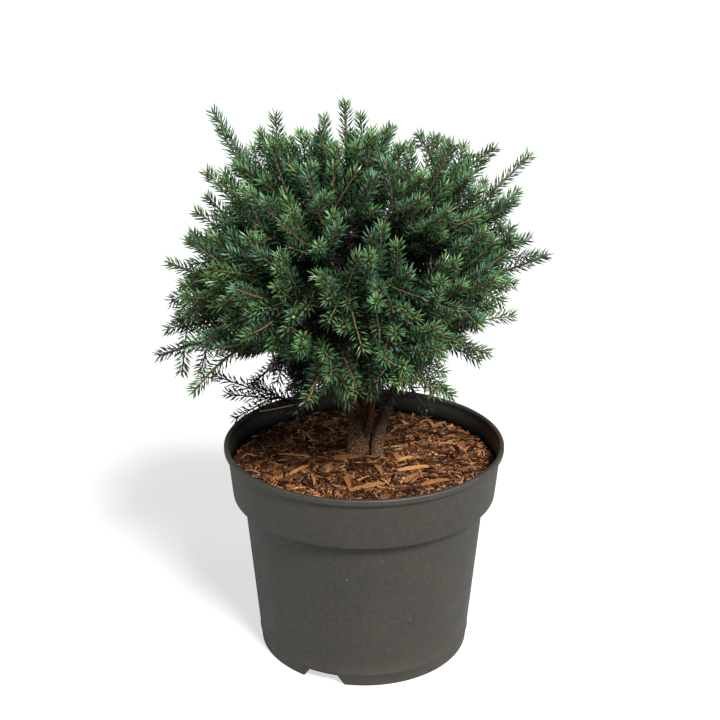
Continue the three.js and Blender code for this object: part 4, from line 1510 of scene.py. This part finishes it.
def cut_path(points, start, end):
    """The stretch of a path between two distances along it."""
    steps = np.linalg.norm(np.diff(points, axis=0), axis=1)
    walked = np.concatenate([[0], np.cumsum(steps)])
    start, end = max(start, 0), min(end, walked[-1])
    inside = walked[(walked > start + CLOSEST_STATION) & (walked < end - CLOSEST_STATION)]
    stations = np.concatenate([[start], inside, [end]])
    return np.column_stack([np.interp(stations, walked, points[:, i]) for i in range(3)])


def choose_finishes(kind, draw):
    """The finishes of a shoot's main stretch and of its tip."""
    # Inner shoots and deep ones get the shaded finish, which is painted shade.
    if kind == "inner":
        return "shaded", "shaded"
    if kind == "deep":
        return "shaded", "shaded" if draw < PLAIN_TIPS_UP_TO else "deep"
    if draw < DEEP_UP_TO:
        return "deep", "fresh"
    if draw < BLUE_UP_TO:
        return "blue", "fresh" if draw > PLAIN_TIPS_UP_TO else "blue"
    return "fresh", "fresh"


def sort_stretches():
    """The stretches that carry needles, by stretch and by finish."""
    random = seeded(FINISH_SEED)
    kinds = {}
    for shoot in shoots:
        points, whole = shoot["points"], length_of(shoot["points"])
        main = cut_path(points, shoot["bare"], whole - TIP_STRETCH)
        tip = cut_path(points, whole - TIP_STRETCH, whole)
        finishes = choose_finishes(shoot["kind"], random())
        kinds.setdefault(("main", finishes[0]), []).append(main)
        kinds.setdefault(("tip", finishes[1]), []).append(tip)
    return kinds


def share_out(paths, spacing):
    """The paths in groups that each carry no more needles than a piece may have."""
    groups = [[]]
    count = 0
    for path in paths:
        needles = length_of(path) / spacing + 1
        if count + needles > PIECE_LIMIT:
            groups.append([])
            count = 0
        groups[-1].append((path, np.ones(len(path))))
        count += needles
    return groups


def stand_of(stretch):
    """The values of the needle tree that a stretch sets."""
    stand = NEEDLE_STAND[stretch]
    foot, tip = (math.radians(angle) for angle in stand["lean"])
    shortest, longest = stand["length"]
    values = {"Lean at foot": foot, "Lean at tip": tip, "Shortest": shortest, "Longest": longest}
    return {**values, "Youth and depth shade at foot": stand["youth"]}


needle_values = {
    "Needle": needle_shape, "Heart": NEEDLE_HEART, "Looseness": NEEDLE_LOOSENESS, "Lift": NEEDLE_LIFT,
}
for (stretch, finish), paths in sort_stretches().items():
    spacing = NEEDLE_SPACING[stretch] * (SHADED_SPACING if finish == "shaded" else 1)
    values = {**needle_values, **stand_of(stretch), "Spacing": spacing, "Finish": NEEDLE_FINISHES[finish]}
    for part, group in enumerate(share_out(paths, spacing)):
        mesh = run_tree(NEEDLE_TREE, curve_from(group), {**values, "Seed": part + NEEDLE_SEED})
        add_piece(f"needles_{stretch}_{finish}_{part + 1}", mesh, mass_nodes)
bpy.data.objects.remove(needle_shape)

# %% [markdown]
# Each shoot ends in a small brown bud, some with a smaller one beside it, and a few buds have just
# broken into a bright yellow-green point. A tree could set them too. One bud for each shoot is few
# enough for plain code, which joins copies of one small shape into a mesh.

# %% Buds
BUD_SIZE = (0.0036, 0.0012)
BREAKING_SIZE = (0.0062, 0.0015)
BUD_SIDES = 5
BUD_OUTLINE = [(0.0, 0.5), (0.35, 1.0), (0.75, 0.65)]
BUD_SEAT = 0.001
BUD_SPANS = {"closed": (0.8, 0.4), "breaking": (0.8, 0.5), "side": (0.6, 0.3)}
BREAKING_SHARE = 0.05
SIDE_BUD_SHARE = 0.4
SIDE_BUD_LEAN = 0.9
BUD_SEED = 31
BUD_SHADE = 0.5
BUD_ROUGHNESS = 0.5


def bud_shape(length, radius):
    """The points and faces of a pointed egg along +Z."""
    angles = [2 * math.pi * i / BUD_SIDES for i in range(BUD_SIDES)]
    points = [
        (radius * wide * math.cos(a), radius * wide * math.sin(a), length * z)
        for z, wide in BUD_OUTLINE
        for a in angles
    ]
    rows = [range(k * BUD_SIDES, (k + 1) * BUD_SIDES) for k in range(len(BUD_OUTLINE))]
    faces = [tuple(rows[0])[::-1], *bands([*rows, [len(points)]])]
    return points + [(0, 0, length)], faces


def join_copies(copies, name, finish, smooth):
    """One mesh of many small shapes, each with its place, its turn, its size and its own shade."""
    all_points, all_faces, shades = [], [], []
    for (points, faces), place, turn, size, shade in copies:
        first = len(all_points)
        all_points += [place + turn @ (Vector(point) * size) for point in points]
        all_faces += [tuple(first + corner for corner in face) for face in faces]
        shades += [shade] * len(points)
    mesh = bpy.data.meshes.new(name)
    mesh.from_pydata(all_points, [], all_faces)
    mesh.attributes.new("shade", "FLOAT", "POINT").data.foreach_set("value", shades)
    mesh.materials.append(finish)
    set_smooth(mesh, smooth)
    return mesh


def bud_size(kind, random):
    """A chance size for a bud, from the smallest of its kind and the span above that."""
    smallest, span = BUD_SPANS[kind]
    return smallest + span * random()


def set_buds():
    """Every closed bud and every breaking one, each set on its shoot."""
    random = seeded(BUD_SEED)
    plain, bursting = bud_shape(*BUD_SIZE), bud_shape(*BREAKING_SIZE)
    closed, breaking = [], []
    for shoot in shoots:
        tip = Vector(shoot["points"][-1])
        heading = (tip - Vector(shoot["points"][-2])).normalized()
        turn = heading.to_track_quat("Z", "Y")
        seat = tip - heading * BUD_SEAT
        if shoot["kind"] == "outer" and random() < BREAKING_SHARE:
            breaking.append((bursting, seat, turn, bud_size("breaking", random), BUD_SHADE))
            continue
        closed.append((plain, seat, turn, bud_size("closed", random), BUD_SHADE))
        u, v = across_of(heading)
        side = heading + leaning(u, v, random() * 2 * math.pi) * SIDE_BUD_LEAN
        if random() < SIDE_BUD_SHARE:
            seat, turn = tip - heading * (2 * BUD_SEAT), side.to_track_quat("Z", "Y")
            closed.append((plain, seat, turn, bud_size("side", random), BUD_SHADE))
    return closed, breaking


def make_bud_finish(name, tones):
    """A smooth bud between two tones."""
    material, tree, shader = start_material(name, BUD_ROUGHNESS)
    mask = mottling(tree, scale=700.0, detail=2.0, low=0.35, high=0.65)
    tree.links.new(blend_colours(tree, mask, *tones), shader.inputs["Base Color"])
    return material


closed_buds, breaking_buds = set_buds()
bud_brown = make_bud_finish("bud scales", ((84, 62, 32), (146, 112, 64)))
bud_green = make_bud_finish("breaking buds", ((112, 152, 56), (160, 190, 88)))
add_piece("buds_closed", join_copies(closed_buds, "closed buds", bud_brown, True))
add_piece("buds_breaking", join_copies(breaking_buds, "breaking buds", bud_green, True))
print(len(closed_buds), "closed buds and", len(breaking_buds), "breaking ones")

# %% [markdown]
# Under the mulch is one body of potting mix. Its top is a shallow dome, here pushed up and down a
# little so that the chips on it don't lie like tiles. Below the rim it follows the pot's inner
# side, with a fraction of a millimetre between them.

# %% Mulch bed
MULCH_EDGE_Z = 0.176
MULCH_TOP_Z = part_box("mulch_bed")[1].z
MULCH_FLAT = 0.045
BED_INSET = 0.0026
BED_LIFT = 0.0003
BED_SIDES = 180
BED_RINGS = 50
INNERMOST_RING = 0.02
MULCH_BELOW_CHIPS = 0.0012
MULCH_UNEVEN = 0.0013
LUMP_DENSITY = 60
BUMP_DENSITY = 150
BUMP_SHARE = 0.6
BED_EDGE_SHARE = 0.58
MULCH_SHEEN = 0.15
OWN_TONE_POWER = 1.6
CLOUD_STRENGTH = 0.15
STREAK_STRENGTH = 0.55
FLECK_STRENGTH = 0.6
MULCH_GRAIN_DEPTH = 0.0004
bed_radius = COLLAR_RADIUS + (COLLAR_TOP_RADIUS - COLLAR_RADIUS) * BED_EDGE_SHARE - BED_INSET


def bed_height(x, y):
    """The height of the mulch's surface: flat in the middle, falling to the edge, and uneven."""
    radius = math.hypot(x, y)
    share = min(max((radius - MULCH_FLAT) / (bed_radius - MULCH_FLAT), 0), 1)
    lumps = noise.noise(Vector((x, y, 0)) * LUMP_DENSITY)
    uneven = lumps + BUMP_SHARE * noise.noise(Vector((x, y, 3)) * BUMP_DENSITY)
    return MULCH_TOP_Z - MULCH_BELOW_CHIPS + (MULCH_EDGE_Z - MULCH_TOP_Z) * share + MULCH_UNEVEN * uneven


def bed_surface(radius, rings):
    """The section of a disc that the bed's surface is pulled to, from its edge to its middle."""
    shares = np.linspace(1, INNERMOST_RING, rings)
    return [(radius * share, POT_HEIGHT) for share in shares] + [(0, POT_HEIGHT)]


def lay_surface(shell):
    """Pulls the points of the disc to the height of the mulch."""
    for vertex in shell.verts:
        if vertex.co.z > POT_HEIGHT - BEAD_HEIGHT:
            vertex.co.z = bed_height(vertex.co.x, vertex.co.y)


def make_bed():
    """The body of mulch as a turned section whose top rings follow the uneven surface."""
    inner_side = [(FOOT_RADIUS, 0), (FOOT_RADIUS + FOOT_SLOPE, CHANNEL_Z), (BASE_RADIUS, CHANNEL_Z)]
    inner_side += [(BODY_TOP_RADIUS, COLLAR_Z), (COLLAR_RADIUS, COLLAR_Z)]
    section = [(0, WALL + BED_LIFT)] + [(r - BED_INSET, z + WALL + BED_LIFT) for r, z in inner_side]
    shell = turn_section(section + bed_surface(bed_radius, BED_RINGS), BED_SIDES)
    lay_surface(shell)
    return mesh_from(shell, "mulch bed")


def make_mulch_finish(name, tones):
    """Shredded bark: each chip has its own tone, with darker streaks and a few pale flecks."""
    dark, light, flecks = tones
    material, tree, shader = start_material(name, BARK_ROUGHNESS)
    shader.inputs["Specular IOR Level"].default_value = MULCH_SHEEN
    own = calculate(tree, "POWER", stored(tree, "shade"), OWN_TONE_POWER)
    cloud = mottling(tree, scale=70.0, detail=3.0, low=0.4, high=0.7)
    tone = calculate(tree, "ADD", own, part_of(tree, cloud, CLOUD_STRENGTH))
    wood = blend_colours(tree, calculate(tree, "MINIMUM", tone, 1.0), dark, light)
    streak = mottling(tree, scale=700.0, detail=4.0, low=0.42, high=0.62)
    streaked = blend_colours(tree, part_of(tree, streak, STREAK_STRENGTH), wood, dark)
    fleck = mottling(tree, scale=1100.0, detail=2.0, low=0.6, high=0.72)
    flecked = blend_colours(tree, part_of(tree, fleck, FLECK_STRENGTH), streaked, flecks)
    tree.links.new(flecked, shader.inputs["Base Color"])
    add_relief(tree, shader, grain(tree, scale=600.0, drawn_out=0.5), MULCH_GRAIN_DEPTH)
    return material


bed_mesh = make_bed()
set_smooth(bed_mesh)
# The bed shows between the chips, and its tones are darker than theirs.
bed_mesh.materials.append(make_mulch_finish("dark mulch bed", ((26, 11, 5), (56, 30, 16), (104, 66, 40))))
add_piece("mulch_body", bed_mesh, ["mulch_bed"])

# %% [markdown]
# Shredded bark is a tangle of fibres, slivers, flakes and a few pale chips of wood. Thousands are
# needed, so each kind is one bent strip of a few faces, and a Geometry Nodes tree scatters it over
# the bed, raises it by chance and gives it a chance turn and tilt. A chip that would stick out past
# the bed's edge is pulled back in.

# %% A tree that scatters chips
SCATTER_INPUTS = {
    "Geometry": ["Ground"], "Object": ["Chip"], "Int": ["Seed"], "Material": ["Finish"],
    "Float": ["Density", "Tilt", "Smallest", "Largest", "Height", "Widest"],
}


def kept_within(tree, shape, widest):
    """A shape with every point that lies too far from the axis pulled back to the widest radius."""
    flat, radius = flattened(tree, put(tree, "GeometryNodeInputPosition").outputs[0])
    too_far = calculate(tree, "SUBTRACT", calculate(tree, "DIVIDE", widest, radius), 1.0)
    pull = stretched(tree, flat, calculate(tree, "MINIMUM", too_far, 0.0))
    return put(tree, "GeometryNodeSetPosition", None, {"Geometry": shape, "Offset": pull}).outputs[0]


def make_scatter_tree():
    """Scatters a shape over a surface, lying nearly flat."""
    result = {"Geometry": ["Chips"]}
    tree, given, taken = open_tree("Chips over ground", "GeometryNodeTree", SCATTER_INPUTS, result)
    seed, tilt = given["Seed"], given["Tilt"]
    feeds = {"Mesh": given["Ground"], "Density": given["Density"], "Seed": seed}
    points = put(tree, "GeometryNodeDistributePointsOnFaces", None, feeds).outputs["Points"]
    tilt_back = calculate(tree, "MULTIPLY", tilt, -1.0)
    tilts = [random_between(tree, tilt_back, tilt, seed_after(tree, seed, step)) for step in (5, 11)]
    turn = random_between(tree, 0.0, 2 * math.pi, seed_after(tree, seed, 17))
    angles = from_axes(tree, *tilts, turn)
    rotation = put(tree, "FunctionNodeEulerToRotation", None, {0: angles}).outputs[0]
    size = random_between(tree, given["Smallest"], given["Largest"], seed_after(tree, seed, 23))
    height = random_between(tree, 0.0, given["Height"], seed_after(tree, seed, 29))
    feeds = {"Geometry": points, "Offset": from_axes(tree, 0.0, 0.0, height)}
    raised = put(tree, "GeometryNodeSetPosition", None, feeds).outputs[0]
    copies = set_copies(tree, raised, given["Chip"], rotation, size, seed_after(tree, seed, 31))
    real = put(tree, "GeometryNodeRealizeInstances", None, {"Geometry": copies}).outputs[0]
    return end_tree(tree, kept_within(tree, real, given["Widest"]), given["Finish"], taken)


SCATTER_TREE = make_scatter_tree()
print("Built the tree", SCATTER_TREE.name)

# %% Sizes of the chips
CHIPS = [
    {"name": "dark_shreds", "size": (0.021, 0.0020, 0.0011), "bend": 0.0022, "density": 26000, "tilt": 0.38,
     "tones": ((22, 8, 4), (92, 52, 30), (136, 92, 60))},
    {"name": "fibres", "size": (0.015, 0.0011, 0.0008), "bend": 0.0018, "density": 64000, "tilt": 0.46,
     "tones": ((52, 22, 9), (204, 150, 104), (228, 186, 140))},
    {"name": "slivers", "size": (0.013, 0.0020, 0.0010), "bend": 0.0009, "density": 30000, "tilt": 0.46,
     "tones": ((42, 17, 7), (188, 126, 80), (216, 168, 120))},
    {"name": "flakes", "size": (0.014, 0.0044, 0.0014), "bend": 0.0006, "density": 5600, "tilt": 0.36,
     "tones": ((52, 23, 10), (160, 102, 60), (188, 136, 90))},
    {"name": "large_flakes", "size": (0.022, 0.0058, 0.0018), "bend": 0.0009, "density": 1200, "tilt": 0.22,
     "tones": ((72, 36, 16), (174, 112, 66), (200, 150, 102))},
    {"name": "crumbs", "size": (0.0044, 0.0021, 0.0014), "bend": 0.0002, "density": 14000, "tilt": 0.9,
     "tones": ((40, 16, 7), (150, 98, 60), (180, 130, 86))},
    {"name": "pale_chips", "size": (0.013, 0.0028, 0.0012), "bend": 0.0004, "density": 3800, "tilt": 0.40,
     "tones": ((150, 102, 62), (226, 184, 136), (234, 204, 164))},
]
LARGE_CHIPS = [
    # Both ends and the width in millimetres, and the chip's own shade.
    ((-13, -75), (18, -60), 5.5, 0.6), ((30, -37), (62, -24), 4.5, 1.0),
    ((31, -16), (45, -8), 3.4, 1.3), ((-28, -12), (-6, -6), 9.0, 0.45),
    ((-79, 4), (-49, -7), 1.8, 1.0), ((-67, -41), (-51, -24), 3.2, 0.9),
    ((50, -63), (75, -50), 5.0, 0.6), ((-17, -48), (-13, -72), 5.0, 0.4),
    ((10, -26), (16, -45), 4.0, 0.5), ((-47, -42), (-44, -63), 2.6, 0.7),
    ((36, -58), (48, -41), 5.0, 0.5), ((64, 88), (68, 70), 4.0, 0.5),
]
GROUND_INSET = 0.002
GROUND_RINGS = 40
GROUND_SIDES = 96
EDGE_ROOM = 0.0004
CHIP_SEED = 40
CHIP_GROWTH = {"Smallest": 0.45, "Largest": 1.35, "Height": 0.0032}
CHIP_STATIONS = [(-0.5, 0.45, 0.1), (-0.2, 1.0, 0.0), (0.22, 0.85, 0.12), (0.5, 0.35, -0.15)]
CHIP_CORNERS = [(1, -1), (1, 1), (-1, 1), (-1, -1)]
LARGE_LIFT = 0.0054
LARGE_BEND = 0.0008
LARGE_THICK = 0.0012
THICK_BY_WIDTH = 0.1
LARGE_TONES = ((96, 50, 22), (206, 148, 94), (222, 176, 126))
print(len(CHIPS), "kinds of chips are scattered, and", len(LARGE_CHIPS), "large chips are laid")

# %% Chips of the mulch


def chip_shape(size, bend):
    """The points and faces of a bent strip with broken ends: four corners at each of four stations."""
    length, width, thick = size
    points = []
    for along, wide, skew in CHIP_STATIONS:
        rise = bend * (1 - 4 * along * along)
        for a, b in CHIP_CORNERS:
            y = width / 2 * (wide * a + skew) + rise
            points.append((length * along, y, thick / 2 * b * (0.5 + wide / 2) + rise / 2))
    rows = [range(4 * k, 4 * k + 4) for k in range(len(CHIP_STATIONS))]
    return points, [tuple(rows[0])[::-1], tuple(rows[-1]), *bands(rows)]


def make_ground():
    """The part of the bed's surface that chips may centre on."""
    shell = turn_section(bed_surface(bed_radius - GROUND_INSET, GROUND_RINGS), GROUND_SIDES)
    lay_surface(shell)
    bmesh.ops.recalc_face_normals(shell, faces=shell.faces)
    return mesh_from(shell, "ground")


def scatter_chips(chip, number):
    """One kind of chip, scattered over the bed as a piece."""
    chip_mesh = bpy.data.meshes.new("chip shape")
    points, faces = chip_shape(chip["size"], chip["bend"])
    chip_mesh.from_pydata(points, [], faces)
    shape = bpy.data.objects.new("chip shape", chip_mesh)
    values = {
        "Chip": shape, "Density": chip["density"], "Tilt": chip["tilt"], "Widest": bed_radius - EDGE_ROOM,
        "Seed": CHIP_SEED + number, "Finish": make_mulch_finish(chip["name"], chip["tones"]), **CHIP_GROWTH,
    }
    add_piece("mulch_" + chip["name"], run_tree(SCATTER_TREE, make_ground(), values))
    bpy.data.objects.remove(shape)


def lay_chip(first, last, width, shade):
    """One large chip, laid between two places on the bed."""
    ends = [(x / 1000, y / 1000) for x, y in (first, last)]
    start, end = (Vector((x, y, bed_height(x, y) + LARGE_LIFT)) for x, y in ends)
    width = width / 1000
    thick = LARGE_THICK + width * THICK_BY_WIDTH
    shape = chip_shape(((end - start).length, width, thick), LARGE_BEND)
    return shape, (start + end) / 2, (end - start).to_track_quat("X", "Z"), 1, shade


for number, chip in enumerate(CHIPS):
    scatter_chips(chip, number)
large_finish = make_mulch_finish("large chips", LARGE_TONES)
large = [lay_chip(*chip) for chip in LARGE_CHIPS]
add_piece("mulch_large_chips", join_copies(large, "large chips", large_finish, False))

# %% [markdown]
# A few dead twigs without needles stick out of the trunk low on the left, and show pale in front
# of the pot's dark wall. They are thin round stems, so the limb tree sweeps them too.

# %% Dead twigs
DEAD_ROUTES = [
    # Places in millimetres.
    ((-6, 8, 256), (-34, 6, 240), (-62, 6, 230), (-96, 8, 224)),
    ((-8, 4, 262), (-28, -12, 256), (-44, -16, 248), (-64, -17, 231)),
    ((-6, 8, 258), (-28, 6, 250), (-48, 6, 244), (-69, 8, 242)),
]
DEAD_RADIUS = (0.0010, 0.0005)
DEAD_STEPS = 16
dead_thickness = np.linspace(*DEAD_RADIUS, DEAD_STEPS + 1)
dead_routes = [cubic(*(from_mm(place) for place in route), DEAD_STEPS) for route in DEAD_ROUTES]
dead_paths = [(route, dead_thickness) for route in dead_routes]
add_limbs("dead_twigs", dead_paths, sides=6, relief=0.0003, relief_scale=500.0, finish=DEAD_WOOD)
